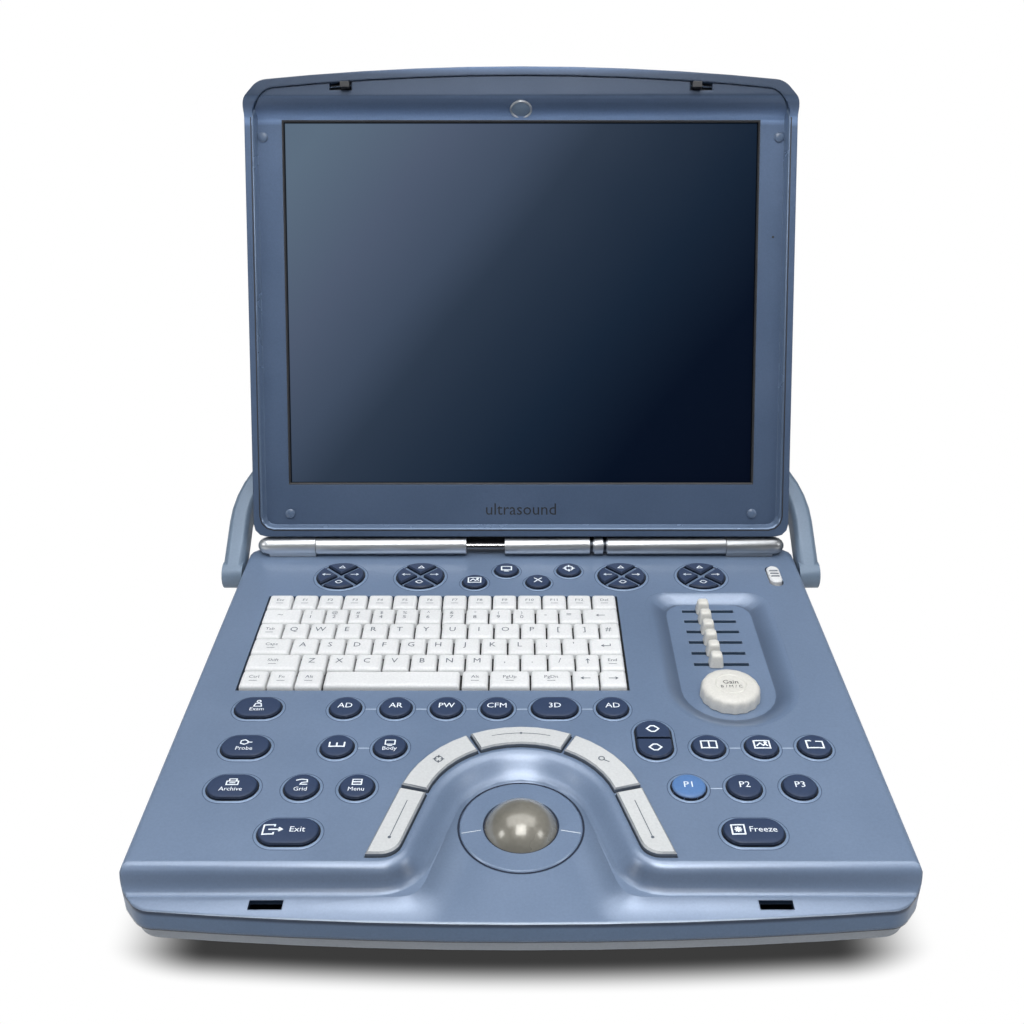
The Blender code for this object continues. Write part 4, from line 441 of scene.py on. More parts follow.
# Lighter than the panel's blue, as a painted highlight on the raised rings round the keys.
COLLAR = satin("collar_paint", (0.190, 0.265, 0.395), 0.42, metallic=0.15, wear=0.0, rim=0.0001)
LID_PAINT = lid_paint()
BUMPER = satin("bumper_rubber", (0.085, 0.125, 0.198), 0.32, wear=0.05, rim=0.0003)
RIM_GLOSS = satin("rim_gloss", (0.16, 0.225, 0.335), 0.24, metallic=0.5, wear=0.0, rim=0.0002, coat=0.4)
TRAY = satin("tray_plastic", (0.185, 0.205, 0.232), 0.42, wear=0.05)
HANDLE = satin("handle_plastic", (0.145, 0.200, 0.272), 0.40, metallic=0.15, wear=0.04)
# These keys' flanks are darker copies of their tops' colours, as painted shade.
NAVY = top_and_painted_shade_flanks("key_rubber", (0.010, 0.017, 0.036), (0.030, 0.048, 0.098), 0.42, wear=0.12, rim=0.0003,
                    shine=0.25)
LIT = top_and_painted_shade_flanks("lit_key", (0.10, 0.17, 0.32), (0.085, 0.185, 0.40), 0.34, wear=0.12, rim=0.0003)
WHITE = satin("key_white", (0.70, 0.71, 0.715), 0.40, wear=0.03, rim=0.0003)
CREAM = satin("slider_cream", (0.63, 0.62, 0.58), 0.38, wear=0.05, rim=0.0004)
ARC_WHITE = top_and_painted_shade_flanks("arc_key_plastic", (0.10, 0.12, 0.15), (0.55, 0.565, 0.57), 0.36, wear=0.05,
                         rim=0.0002)
DARK = satin("dark_plastic", (0.018, 0.019, 0.022), 0.42, wear=0.10)
RUBBER = satin("foot_rubber", (0.022, 0.022, 0.023), 0.75, depth=0.00003, wear=0.04)
GREEN = satin("board_resin", (0.018, 0.12, 0.05), 0.35, wear=0.05)
SILVER = hinge_silver()
CHROME = shaft_chrome()
STEEL = brushed("turned_steel", (0.50, 0.50, 0.51), 0.14, (60.0, 2200.0, 2200.0), 0.04)
PALE_INK = ink("pale_ink", (0.78, 0.84, 0.90))
LINE_INK = ink("line_ink", (0.50, 0.60, 0.75))
GREY_INK = ink("grey_ink", (0.10, 0.12, 0.15))
SHADE_INK = ink("shade_ink", (0.075, 0.112, 0.182))
# Navy-black ink for painted shade in gaps.
GAP_SHADE_INK = ink("gap_shade_ink", (0.010, 0.018, 0.040))
BLACK_INK = ink("dark_ink", (0.012, 0.014, 0.018))


def pearl():
    g = Graph("ball_pearl")
    swirl = g.noise(70.0, 5.0)
    color = g.mix(g.remap(swirl, 0.3, 0.7, 0.0, 1.0), (0.190, 0.180, 0.152), (0.265, 0.252, 0.212))
    return satin("ball_pearl", color, 0.27, metallic=0.25, grain=900.0, depth=0.000003, wear=0.0, coat=0.6,
                 graph=g, spread=0.03)


# Finishes of the solids

def finish_nodes():
    glass = screen_glass("screen_glass", 0.150, 0.040, 0.2688, 0.0016)
    by_slot = {"panel_blue": PAINT, "lid_blue": LID_PAINT, "tray_grey": TRAY, "key_navy": NAVY,
               "key_white": WHITE, "ball_pearl": pearl(), "handle_blue": HANDLE, "hinge_silver": SILVER,
               "steel": STEEL, "dark_plastic": DARK, "rubber": RUBBER, "screen_glass": glass,
               "board_green": GREEN}
    for entry in frame["record"]["subparts"]:
        name = entry["node"]
        finish = by_slot[entry["material_slot"]]
        if name.startswith("arc_key"):
            finish = ARC_WHITE
        elif name.startswith("gain_"):
            finish = CREAM
        elif name == "hinge_shaft":
            finish = CHROME
        item = NODES[name]
        item.data.materials.clear()
        item.data.materials.append(finish)
        weld = item.modifiers.new("weld", "WELD")
        weld.merge_threshold = 0.00003
        item.data.shade_smooth()
        split = item.modifiers.new("corners", "EDGE_SPLIT")
        split.split_angle = math.radians(22.9)
        weighted = item.modifiers.new("flats", "WEIGHTED_NORMAL")
        weighted.weight = 100


# Shapes of the printed and fitted pieces

class Piece:
    """Collects shapes into one mesh that rides on one body."""

    def __init__(self, name, body, finish, slot, frame_matrix=None):
        self.name = name
        self.body = body
        self.finish = finish
        self.slot = slot
        self.matrix = frame_matrix or Matrix.Identity(4)
        self.bm = bmesh.new()

    def face(self, points):
        self.bm.faces.new([self.bm.verts.new(self.matrix @ Vector(point)) for point in points])

    def band(self, lower, upper):
        """Quads between two closed rings of points."""
        count = len(lower)
        low = [self.bm.verts.new(self.matrix @ Vector(point)) for point in lower]
        high = [self.bm.verts.new(self.matrix @ Vector(point)) for point in upper]
        for index in range(count):
            after = (index + 1) % count
            self.bm.faces.new((low[index], low[after], high[after], high[index]))

    def rings(self, rings, cap=True):
        for lower, upper in zip(rings, rings[1:]):
            self.band(lower, upper)
        if cap:
            self.face(rings[-1])

    def stroke(self, points, width, z, closed=False):
        """Flat line of even width through points in the plane."""
        line = [Vector(point) for point in points]
        count = len(line)
        left = []
        right = []
        for index, point in enumerate(line):
            before = line[index - 1] if closed or index else None
            after = line[(index + 1) % count] if closed or index < count - 1 else None
            first = (point - before).normalized() if before is not None else None
            second = (after - point).normalized() if after is not None else None
            along = (first or second) + (second or first)
            along.normalize()
            side = Vector((-along.y, along.x))
            bend = along.dot(first or second)
            reach = width / 2 / max(bend, 0.5)
            left.append((*(point + side * reach), z))
            right.append((*(point - side * reach), z))
        steps = count if closed else count - 1
        for index in range(steps):
            after = (index + 1) % count
            self.face((right[index], right[after], left[after], left[index]))

    def disc(self, x, y, z, radius, count=16):
        self.face([(*point, z) for point in oval(x, y, radius, radius, count)])

    def drape(self, first, surface):
        """Lays the points added since the first one on a surface."""
        self.bm.verts.ensure_lookup_table()
        for vert in self.bm.verts[first:]:
            vert.co.z = surface(vert.co.x, vert.co.y) + INK_LIFT

    def text(self, words, size, x, y, z, turn=0.0, align="CENTER"):
        curve = bpy.data.curves.new("legend", "FONT")
        curve.body = words
        curve.size = size
        curve.align_x = align
        curve.align_y = "CENTER"
        curve.resolution_u = 2
        holder = bpy.data.objects.new("legend", curve)
        bpy.context.scene.collection.objects.link(holder)
        bpy.context.view_layer.update()
        mesh = bpy.data.meshes.new_from_object(holder.evaluated_get(bpy.context.evaluated_depsgraph_get()))
        mesh.transform(self.matrix @ Matrix.Translation((x, y, z)) @ Matrix.Rotation(turn, 4, "Z"))
        self.bm.from_mesh(mesh)
        bpy.data.meshes.remove(mesh)
        bpy.data.objects.remove(holder)
        bpy.data.curves.remove(curve)

    def text_on(self, surface, words, size, x, y):
        """Words laid on a surface."""
        self.bm.verts.ensure_lookup_table()
        first = len(self.bm.verts)
        self.text(words, size, x, y, 0.0)
        self.drape(first, surface)

    def done(self, smooth=None):
        mesh = bpy.data.meshes.new(self.name)
        bmesh.ops.remove_doubles(self.bm, verts=self.bm.verts, dist=0.000001)
        self.bm.to_mesh(mesh)
        self.bm.free()
        if smooth:
            mesh.shade_smooth()
            mesh.set_sharp_from_angle(angle=smooth)
        mesh.materials.append(self.finish)
        item = bpy.data.objects.new(self.name, mesh)
        bpy.context.scene.collection.objects.link(item)
        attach(item, self.body)
        return item


def oval(x, y, half_x, half_y, count=24, corner=1.0):
    """Stadium, circle or rounded rectangle about a middle."""
    radius = min(half_x, half_y, corner)
    points = []
    for index in range(count):
        angle = 2 * math.pi * (index + 0.5) / count
        dx = radius * math.cos(angle) + math.copysign(half_x - radius, math.cos(angle))
        dy = radius * math.sin(angle) + math.copysign(half_y - radius, math.sin(angle))
        points.append((x + dx, y + dy))
    return points


def arc(x, y, radius, start, end, steps):
    points = []
    for step in range(steps + 1):
        angle = math.radians(start + (end - start) * step / steps)
        points.append((x + radius * math.cos(angle), y + radius * math.sin(angle)))
    return points


def tops(node):
    """Flat top of each key of a node, as (x, y, half x, half y, z), from the back row and the left."""
    mesh = NODES[node].data
    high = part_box(node)[1].z
    owner = {}

    def find(key):
        while owner[key] != key:
            key = owner[key]
        return key

    for face in mesh.polygons:
        corners = [mesh.vertices[index].co for index in face.vertices]
        if min(corner.z for corner in corners) < high - 0.00002:
            continue
        keys = [(round(corner.x, 6), round(corner.y, 6)) for corner in corners]
        for key in keys:
            owner.setdefault(key, key)
        for key in keys[1:]:
            owner[find(key)] = find(keys[0])
    groups = {}
    for key in owner:
        groups.setdefault(find(key), []).append(key)
    found = []
    for group in groups.values():
        xs = [key[0] for key in group]
        ys = [key[1] for key in group]
        found.append(((min(xs) + max(xs)) / 2, (min(ys) + max(ys)) / 2,
                      (max(xs) - min(xs)) / 2, (max(ys) - min(ys)) / 2, high))
    return sorted(found, key=lambda item: (-round(item[1], 3), item[0]))



# Keys with crowned caps

CAP_BEVEL = 0.0008
CAP_GAP = 0.0004
CROWN = 0.0005
ROUNDING = 0.0011


def cap_of(top):
    """Cap outline of a key from its flat top: x, y, half x, half y, z of the flat top."""
    x, y, half_x, half_y, z = top
    return (x, y, half_x + CAP_BEVEL, half_y + CAP_BEVEL, z)


def depth_in(cap, x, y):
    """How far a point lies inside a cap's outline."""
    middle_x, middle_y, half_x, half_y, _ = cap
    radius = min(half_x, half_y)
    dx = max(abs(x - middle_x) - (half_x - radius), 0.0)
    dy = max(abs(y - middle_y) - (half_y - radius), 0.0)
    return radius - math.hypot(dx, dy)


def crowned(cap, depth):
    """Height of a crowned cap at a distance in from its outline."""
    radius = min(cap[2], cap[3])
    share = min(max(depth / radius, 0.0), 1.0)
    edge = min(max(depth / ROUNDING, 0.0), 1.0)
    low = cap[4] - ROUNDING + 0.00006
    return low + ROUNDING * math.sqrt(1 - (1 - edge) ** 2) + CROWN * (1 - (1 - share) ** 2)


def add_crown(piece, cap):
    x, y, half_x, half_y, _ = cap
    radius = min(half_x, half_y)
    rings = [[(*point, PANEL_Z - 0.0004) for point in oval(x, y, half_x, half_y, 40)]]
    for share in (0.0, 0.02, 0.05, 0.09, 0.14, 0.30, 0.50, 0.72, 0.94):
        depth = radius * share
        height = crowned(cap, depth)
        rings.append([(*point, height) for point in oval(x, y, half_x - depth, half_y - depth, 40)])
    piece.rings(rings)


def add_collar(collars, grooves, shades, cap, width=0.0013, rise=0.0005):
    """Raised ring round a key's hole, a black band as painted shade over the gap inside it, and painted shade at
    its foot.
    """
    x, y, half_x, half_y, _ = cap
    gap = CAP_GAP + 0.0002

    def outline(grow, height):
        return [(*point, PANEL_Z + height) for point in oval(x, y, half_x + grow, half_y + grow, 48)]

    rings = []
    for share, height in ((0.0, -0.2), (0.0, 0.5), (0.12, 0.9), (0.32, 1.0), (0.62, 0.7), (1.0, -0.03)):
        rings.append(outline(gap + width * share, rise * height))
    collars.rings(rings, cap=False)
    # Painted shade: a black band over the gap between the key and the ring.
    grooves.band(outline(-0.0002, 0.0001), outline(gap + 0.0001, 0.0001))
    shades.band(outline(gap + width - 0.0002, LINE_LIFT), outline(gap + width + 0.0004, LINE_LIFT))


def finer(path, closed, pitch=0.0007):
    """The same path with more points, so that it follows a curved surface."""
    ends = path + path[:1] if closed else path
    points = []
    for first, second in zip(ends, ends[1:]):
        steps = max(1, math.ceil(math.dist(first, second) / pitch))
        for step in range(steps):
            share = step / steps
            points.append((first[0] + (second[0] - first[0]) * share,
                           first[1] + (second[1] - first[1]) * share))
    return points if closed else points + [path[-1]]


def icon(piece, name, x, y, size, surface):
    """Small line drawing on a key."""
    piece.bm.verts.ensure_lookup_table()
    first = len(piece.bm.verts)
    width = size * 0.13

    def line(points, closed=False):
        path = [(x + px * size, y + py * size) for px, py in points]
        piece.stroke(finer(path, closed), width, 0.0, closed)

    for points, closed in ICONS[name]:
        line(points, closed)
    piece.drape(first, surface)


def frame_line(half_x, half_y, x=0.0, y=0.0):
    return ([(x - half_x, y - half_y), (x + half_x, y - half_y), (x + half_x, y + half_y),
             (x - half_x, y + half_y)], True)


def round_line(radius, x=0.0, y=0.0):
    return (arc(x, y, radius, 0, 345, 15), True)


ICONS = {
    "exit": [([(0.15, 0.3), (0.15, 0.5), (-0.7, 0.5), (-0.7, -0.5), (0.15, -0.5), (0.15, -0.3)], False),
             ([(-0.3, 0.0), (0.75, 0.0)], False), ([(0.5, 0.2), (0.78, 0.0), (0.5, -0.2)], False)],
    "book": [([(0.0, -0.42), (-0.62, -0.42), (-0.62, 0.42), (0.0, 0.42)], False),
             ([(0.0, -0.42), (0.62, -0.42), (0.62, 0.42), (0.0, 0.42)], False),
             ([(0.0, -0.5), (0.0, 0.42)], False)],
    "picture": [frame_line(0.62, 0.45),
                ([(-0.45, -0.2), (-0.15, 0.15), (0.1, -0.15), (0.25, 0.05), (0.45, -0.2)], False),
                round_line(0.08, 0.3, 0.22)],
    "folder": [([(-0.25, 0.36), (-0.32, 0.46), (-0.65, 0.46), (-0.65, -0.42), (0.65, -0.42), (0.65, 0.36),
                 (0.1, 0.36)], False)],
    "snow": [frame_line(0.5, 0.5), ([(-0.3, 0.0), (0.3, 0.0)], False), ([(0.0, -0.3), (0.0, 0.3)], False),
             ([(-0.22, -0.22), (0.22, 0.22)], False), ([(-0.22, 0.22), (0.22, -0.22)], False)],
    "diamond": [([(-0.5, 0.0), (-0.15, 0.36), (0.15, 0.36), (0.5, 0.0), (0.15, -0.36), (-0.15, -0.36)],
                 True)],
    "caliper": [([(-0.6, 0.3), (-0.6, -0.25), (0.6, -0.25), (0.6, 0.3)], False),
                ([(0.0, -0.25), (0.0, 0.2)], False)],
    "stack": [frame_line(0.45, 0.18, 0.0, 0.26), frame_line(0.45, 0.18, 0.0, -0.14)],
    "printer": [frame_line(0.58, 0.26, 0.0, -0.1),
                ([(-0.36, 0.16), (-0.36, 0.5), (0.36, 0.5), (0.36, 0.16)], False),
                ([(-0.3, -0.1), (0.3, -0.1)], False)],
    "probe": [([(-0.5, 0.25), (-0.1, 0.4), (0.25, 0.1), (0.25, -0.15), (-0.1, -0.35), (-0.5, -0.2)], True),
              ([(0.25, 0.0), (0.7, 0.0)], False)],
    "person": [round_line(0.2, 0.0, 0.38), ([(-0.42, -0.5), (-0.3, 0.0), (0.3, 0.0), (0.42, -0.5)], True)],
    "wave": [([(-0.6, 0.3), (-0.1, 0.45), (0.5, 0.4), (0.55, 0.05), (0.0, -0.05), (-0.1, -0.3), (0.6, -0.3)],
              False)],
    "lens": [round_line(0.3, -0.2, 0.1), ([(0.02, -0.1), (0.6, -0.45)], False)],
    "target": [round_line(0.42), ([(-0.62, 0.0), (-0.2, 0.0)], False), ([(0.2, 0.0), (0.62, 0.0)], False),
               ([(0.0, 0.62), (0.0, 0.2)], False), ([(0.0, -0.2), (0.0, -0.62)], False)],
    "screen": [frame_line(0.5, 0.34), ([(-0.25, -0.55), (0.25, -0.55)], False)],
    "cross": [([(-0.4, -0.4), (0.4, 0.4)], False), ([(-0.4, 0.4), (0.4, -0.4)], False)],
    "arrow": [([(-0.42, -0.25), (0.0, 0.35), (0.42, -0.25)], True)],
    "return": [([(0.6, 0.35), (0.6, -0.1), (-0.55, -0.1)], False),
               ([(-0.25, 0.15), (-0.58, -0.1), (-0.25, -0.35)], False)],
    "left": [([(0.6, 0.0), (-0.55, 0.0)], False), ([(-0.25, 0.25), (-0.58, 0.0), (-0.25, -0.25)], False)],
    "right": [([(-0.6, 0.0), (0.55, 0.0)], False), ([(0.25, 0.25), (0.58, 0.0), (0.25, -0.25)], False)],
    "up": [([(0.0, -0.5), (0.0, 0.5)], False), ([(-0.25, 0.2), (0.0, 0.52), (0.25, 0.2)], False)],
}


def print_key(piece, cap, words="", drawing="", small=""):
    """Legend of one key: words, a drawing, or a drawing over small words."""
    x, y = cap[0], cap[1]

    def surface(px, py):
        return crowned(cap, depth_in(cap, px, py))

    if drawing:
        icon(piece, drawing, x, y + (0.0016 if small else 0.0), 0.0048 if small else 0.0062, surface)
    for text, size, drop in ((words, 0.0056, 0.0), (small, 0.0036, 0.0030)):
        if text:
            piece.text_on(surface, text, size, x, y - drop)


LEGENDS = {
    "mode_keypad": (("AD",), ("AR",), ("PW",), ("CFM",), ("3D",), ("AD",)),
    "left_wide_keypad": (("", "person", "Exam"), ("", "probe", "Probe"), ("", "printer", "Archive")),
    "left_round_keypad": (("", "caliper"), ("", "screen", "Body"), ("", "wave", "Grid"),
                          ("", "stack", "Menu")),
    "right_keypad": (("", "book"), ("", "picture"), ("", "folder"), ("P1",), ("P2",), ("P3",)),
    "menu_keypad": (("", "screen"), ("", "target"), ("", "picture"), ("", "cross")),
}
LIT_KEY = ("P1",)
JOIN_GAP = 0.0021
JOINED = {"mode_keypad": ((0, 1), (1, 2), (2, 3), (3, 4), (4, 5)), "left_round_keypad": ((0, 1),),
          "right_keypad": ((0, 1), (1, 2), (3, 4))}


def make_key_details():
    collars = Piece("key_collars", "base", COLLAR, "panel_blue")
    # Painted shade: black bands over the gaps round the keys.
    grooves = Piece("key_gaps", "base", BLACK_INK, "dark_plastic")
    shades = Piece("key_shades", "base", SHADE_INK, "panel_blue")
    lines = Piece("panel_lines", "base", LINE_INK, "panel_blue")
    lit = Piece("right_keypad_lit_crown", "right_keypad_body", LIT, "key_navy")
    for node, legends in LEGENDS.items():
        caps = [cap_of(top) for top in tops(node)]
        crowns = Piece(node + "_crowns", node + "_body", NAVY, "key_navy")
        marks = Piece(node + "_legends", node + "_body", PALE_INK, "key_white")
        for cap, legend in zip(caps, legends):
            add_crown(lit if legend == LIT_KEY else crowns, cap)
            add_collar(collars, grooves, shades, cap)
            print_key(marks, cap, *legend)
        for first, second in JOINED.get(node, ()):
            start = caps[first][0] + caps[first][2] + JOIN_GAP
            end = caps[second][0] - caps[second][2] - JOIN_GAP
            lines.stroke([(start, caps[first][1]), (end, caps[first][1])], 0.0005, PANEL_Z + LINE_LIFT)
        crowns.done(0.9)
        marks.done()
    for node, words, drawing in (("front_key_left", "Exit", "exit"), ("front_key_right", "Freeze", "snow")):
        cap = cap_of(tops(node)[0])
        crowns = Piece(node + "_crown", node + "_body", NAVY, "key_navy")
        add_crown(crowns, cap)
        crowns.done(0.9)
        add_collar(collars, grooves, shades, cap)
        marks = Piece(node + "_legend", node + "_body", PALE_INK, "key_white")

        def surface(x, y):
            return crowned(cap, depth_in(cap, x, y))

        icon(marks, drawing, cap[0] - 0.0072, cap[1], 0.0058, surface)
        marks.text_on(surface, words, 0.0048, cap[0] + 0.0042, cap[1])
        marks.done()
    low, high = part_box("level_rocker")
    middle = (low + high) / 2
    add_collar(collars, grooves, shades, (middle.x, middle.y, 0.0090, 0.0146, high.z))
    marks = Piece("level_legend", "level_rocker_body", PALE_INK, "key_white")
    for way in (-1, 1):
        icon(marks, "diamond", middle.x, middle.y + way * 0.0072, 0.0062, lambda x, y: high.z)
    marks.done()
    for index in range(1, 5):
        node = "rocker_pad_%d" % index
        low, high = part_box(node)
        middle = (low + high) / 2
        add_collar(collars, grooves, shades, (middle.x, middle.y, 0.0147, 0.0147, high.z), 0.0016, 0.0006)
        marks = Piece(node + "_marks", node + "_body", PALE_INK, "key_white")
        for name, dx, dy in (("arrow", 0, 1), ("left", -1, 0), ("right", 1, 0), ("diamond", 0, -1)):
            icon(marks, name, middle.x + dx * 0.0088, middle.y + dy * 0.0088, 0.0042, lambda x, y: high.z)
        marks.done()
    lit.done(0.9)
    collars.done(0.9)
    grooves.done()
    shades.done()
    lines.done()


# Keyboard legends

KEY_WORDS = (
    ("Esc", "F1", "F2", "F3", "F4", "F5", "F6", "F7", "F8", "F9", "F10", "F11", "F12", "Del"),
    ("~", "1", "2", "3", "4", "5", "6", "7", "8", "9", "0", "-", "=", "<left"),
    ("Tab", "Q", "W", "E", "R", "T", "Y", "U", "I", "O", "P", "[", "]", "#"),
    ("Caps", "A", "S", "D", "F", "G", "H", "J", "K", "L", ";", "'", "<return"),
    ("Shift", "Z", "X", "C", "V", "B", "N", "M", ",", ".", "/", "<up", "End"),
    ("Ctrl", "Fn", "Alt", "Alt", "PgUp", "PgDn", "<left", "<right"),
)
SHIFTED = {"1": "!", "2": "@", "3": "#", "4": "$", "5": "%", "6": "^", "7": "&", "8": "*", "9": "(", "0": ")"}


# Keyboard key in section: distance in from its foot, height over the panel
KEY_TAPER = 0.0013
KEY_CORNER = 0.0012
KEY_PROFILE = ((0.0, -0.0024), (0.0001, 0.0002), (0.0003, 0.0010), (0.0007, 0.0016), (0.0011, 0.0019),
               (0.0016, 0.0021), (0.0022, 0.0022), (0.0030, 0.0021), (0.0046, 0.0020))


def between(table, value):
    """Height at a distance, between the steps of a table of both."""
    for (first, low), (second, high) in zip(table, table[1:]):
        if value <= second:
            share = max((value - first) / (second - first), 0.0)
            return low + (high - low) * share
    return table[-1][1]


def on_key(top):
    """Surface of a keyboard key with this flat top in the solids."""
    x, y, half_x, half_y, _ = top

    def surface(px, py):
        inside = min(half_x - abs(px - x), half_y - abs(py - y)) + KEY_TAPER
        return PANEL_Z + between(KEY_PROFILE, inside)

    return surface


def add_key(piece, top):
    """Key with rounded edges and a dished top."""
    x, y, half_x, half_y, _ = top
    rings = []
    for inset, height in KEY_PROFILE:
        grow = KEY_TAPER - inset
        outline = oval(x, y, half_x + grow, half_y + grow, 20, KEY_CORNER)
        rings.append([(*point, PANEL_Z + height) for point in outline])
    piece.rings(rings)


def make_keyboard():
    caps = Piece("keyboard_caps", "keyboard_keys_body", WHITE, "key_white")
    marks = Piece("keyboard_legends", "keyboard_keys_body", GREY_INK, "key_white")
    rows = []
    for top in tops("keyboard_keys"):
        add_key(caps, top)
        if not rows or abs(rows[-1][0][1] - top[1]) > 0.004:
            rows.append([])
        rows[-1].append(top)
    for row, words in zip(rows, KEY_WORDS):
        row.sort()
        for top, word in zip(row, words):
            print_keyboard_key(marks, top, word)
    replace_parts(caps.done(0.9), "keyboard_keys")
    marks.done()
    bar = Piece("space_bar_cap", "space_bar_body", WHITE, "key_white")
    add_key(bar, tops("space_bar")[0])
    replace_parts(bar.done(0.9), "space_bar")
    low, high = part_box("keyboard_keys")
    sheet = Piece("keyboard_sheet", "keyboard_keys_body", RUBBER, "rubber")
    middle = (low + high) / 2
    half = (high - low) / 2
    rings = []
    for inset, z in ((0.0, low.z), (0.0, low.z + 0.0008), (0.0002, low.z + 0.0010)):
        outline = oval(middle.x, middle.y, half.x - inset, half.y - inset, 20, KEY_CORNER)
        rings.append([(*point, z) for point in outline])
    sheet.rings(rings)
    sheet.done(0.5)


def print_keyboard_key(marks, top, word):
    x, y = top[0], top[1]
    surface = on_key(top)
    if word.startswith("<"):
        icon(marks, word[1:], x, y, 0.0042, surface)
    elif word in SHIFTED:
        marks.text_on(surface, word, 0.0046, x - 0.0012, y - 0.0018)
        marks.text_on(surface, SHIFTED[word], 0.0038, x - 0.0012, y + 0.0026)
    elif len(word) == 1:
        marks.text_on(surface, word, 0.0060, x - 0.0010, y + 0.0006)
    else:
        marks.text_on(surface, word, 0.0036, x, y + 0.0012)
        marks.bm.verts.ensure_lookup_table()
        first = len(marks.bm.verts)
        marks.stroke(finer([(x - 0.0022, y - 0.0022), (x + 0.0022, y - 0.0022)], False), 0.0004, 0.0)
        marks.drape(first, surface)


# Trackball, its ring and the arc keys

BALL_GAP = 0.0010


def make_trackball():
    low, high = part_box("trackball")
    middle = (low + high) / 2
    radius = (high.x - low.x) / 2
    ball = Piece("trackball_smooth", "trackball_body", NODES["trackball"].data.materials[0], "ball_pearl",
                 Matrix.Translation(middle))
    bmesh.ops.create_uvsphere(ball.bm, u_segments=56, v_segments=32, radius=radius, matrix=ball.matrix)
    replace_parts(ball.done(3.0), "trackball")
    low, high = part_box("trackball_ring")
    top = high.z
    outer = (high.x - low.x) / 2
    waist = math.sqrt(radius ** 2 - (top - middle.z) ** 2)
    bore = waist + BALL_GAP
    ring = Piece("trackball_ring_smooth", "base", RING_PAINT, "panel_blue")
    profile = ((bore, low.z), (bore, top - 0.0002), (bore + 0.0002, top), (outer - 0.0006, top),
               (outer, top - 0.0006), (outer, low.z))
    rings = []
    for size, z in profile:
        rings.append([(*point, z) for point in oval(middle.x, middle.y, size, size, 72)])
    ring.rings(rings, cap=False)
    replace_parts(ring.done(0.5), "trackball_ring")
    # Painted shade: dark bands in the gap round the ring's outer edge and in the gap between the ball and the
    # ring's bore.
    groove = Piece("trackball_gap_shade", "base", GAP_SHADE_INK, "dark_plastic")
    edge = []
    for size in (outer + 0.0001, outer + 0.0010):
        edge.append([(*point, top - 0.00052) for point in oval(middle.x, middle.y, size, size, 72)])
    groove.band(*edge)
    edge = []
    for size in (waist - 0.0004, bore + 0.0001):
        edge.append([(*point, top - 0.0006) for point in oval(middle.x, middle.y, size, size, 72)])
    groove.band(*edge)
    groove.done()
    lines = Piece("trackball_lines", "base", PALE_INK, "key_white")
    for side in (-1, 1):
        start = (middle.x + side * (bore + 0.0008), middle.y - 0.0032)
        end = (middle.x + side * (outer - 0.0010), middle.y - 0.0052)
        lines.stroke([start, end], 0.0003, top + LINE_LIFT)
    lines.done()
    return middle


def make_arc_marks(ball):
    """Thin line and dot on three arc keys, a drawing on the other two."""
    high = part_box("arc_key_top")[1].z
    radius = 0.0531
    top = Piece("arc_key_top_mark", "arc_key_top_body", GREY_INK, "dark_plastic")
    top.stroke(arc(ball.x, ball.y, radius + 0.0008, 106, 74, 12), 0.0004, high + INK_LIFT)
    top.disc(ball.x, ball.y + radius + 0.0008, high + INK_LIFT * 1.5, 0.0007)
    top.done()
    for side, word in ((-1, "left"), (1, "right")):
        upper = Piece("arc_key_upper_%s_mark" % word, "arc_key_upper_%s_body" % word, GREY_INK,
                      "dark_plastic")
        angle = math.radians(90 - side * 50)
        icon(upper, "target" if side < 0 else "lens", ball.x + radius * math.cos(angle),
             ball.y + radius * math.sin(angle), 0.0046, lambda x, y: high)
        upper.done()
        lower = Piece("arc_key_lower_%s_mark" % word, "arc_key_lower_%s_body" % word, GREY_INK,
                      "dark_plastic")
        start = (ball.x + side * 0.0535, ball.y + 0.0050)
        end = (ball.x + side * 0.0595, ball.y - 0.0190)
        lower.stroke([start, end], 0.0004, high + INK_LIFT)
        lower.disc(end[0], end[1], high + INK_LIFT * 1.5, 0.0008)
        lower.done()


# Gain knob, gain sliders and power switch

RECESS_Z = KNOB.z
KNOB_LOBES = 16
KNOB_SCALLOP = 0.0005
# Knob in section: share of its radius, share of its height, share of the scallop's depth
KNOB_PROFILE = ((1.0, 0.03, 1.0), (1.0, 0.35, 1.0), (0.985, 0.58, 0.9), (0.96, 0.73, 0.6), (0.92, 0.84, 0.3),
                (0.85, 0.92, 0.1), (0.75, 0.965, 0.0), (0.60, 0.99, 0.0), (0.53, 0.995, 0.0),
                (0.51, 0.955, 0.0), (0.48, 0.955, 0.0), (0.46, 0.998, 0.0), (0.2, 1.0, 0.0))
# Slider cap in section: share of its half width, share of its height
SLIDER_PROFILE = ((1.0, 0.04), (0.96, 0.25), (0.88, 0.55), (0.82, 0.78), (0.76, 0.90), (0.66, 0.97),
                  (0.45, 1.0))


def make_knob():
    low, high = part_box("gain_knob")
    middle = (low + high) / 2
    reach = (high.x - low.x) / 2
    height = high.z - RECESS_Z
    knob = Piece("gain_knob_smooth", "gain_knob_body", CREAM, "key_white")
    rings = []
    count = KNOB_LOBES * 8
    for radius, rise, lobes in KNOB_PROFILE:
        ring = []
        for index in range(count):
            angle = 2 * math.pi * index / count
            wavy = reach * radius - KNOB_SCALLOP * lobes * (1 - math.cos(KNOB_LOBES * angle)) / 2
            ring.append((middle.x + wavy * math.cos(angle), middle.y + wavy * math.sin(angle),
                         RECESS_Z + height * rise))
        rings.append(ring)
    knob.rings(rings)
    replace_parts(knob.done(0.7), "gain_knob")
    words = Piece("gain_knob_legend", "gain_knob_body", BLACK_INK, "dark_plastic")
    words.text("Gain", 0.0046, middle.x, middle.y + 0.0016, high.z + INK_LIFT)
    words.text("B / M / C", 0.0032, middle.x, middle.y - 0.0022, high.z + INK_LIFT)
    words.done()


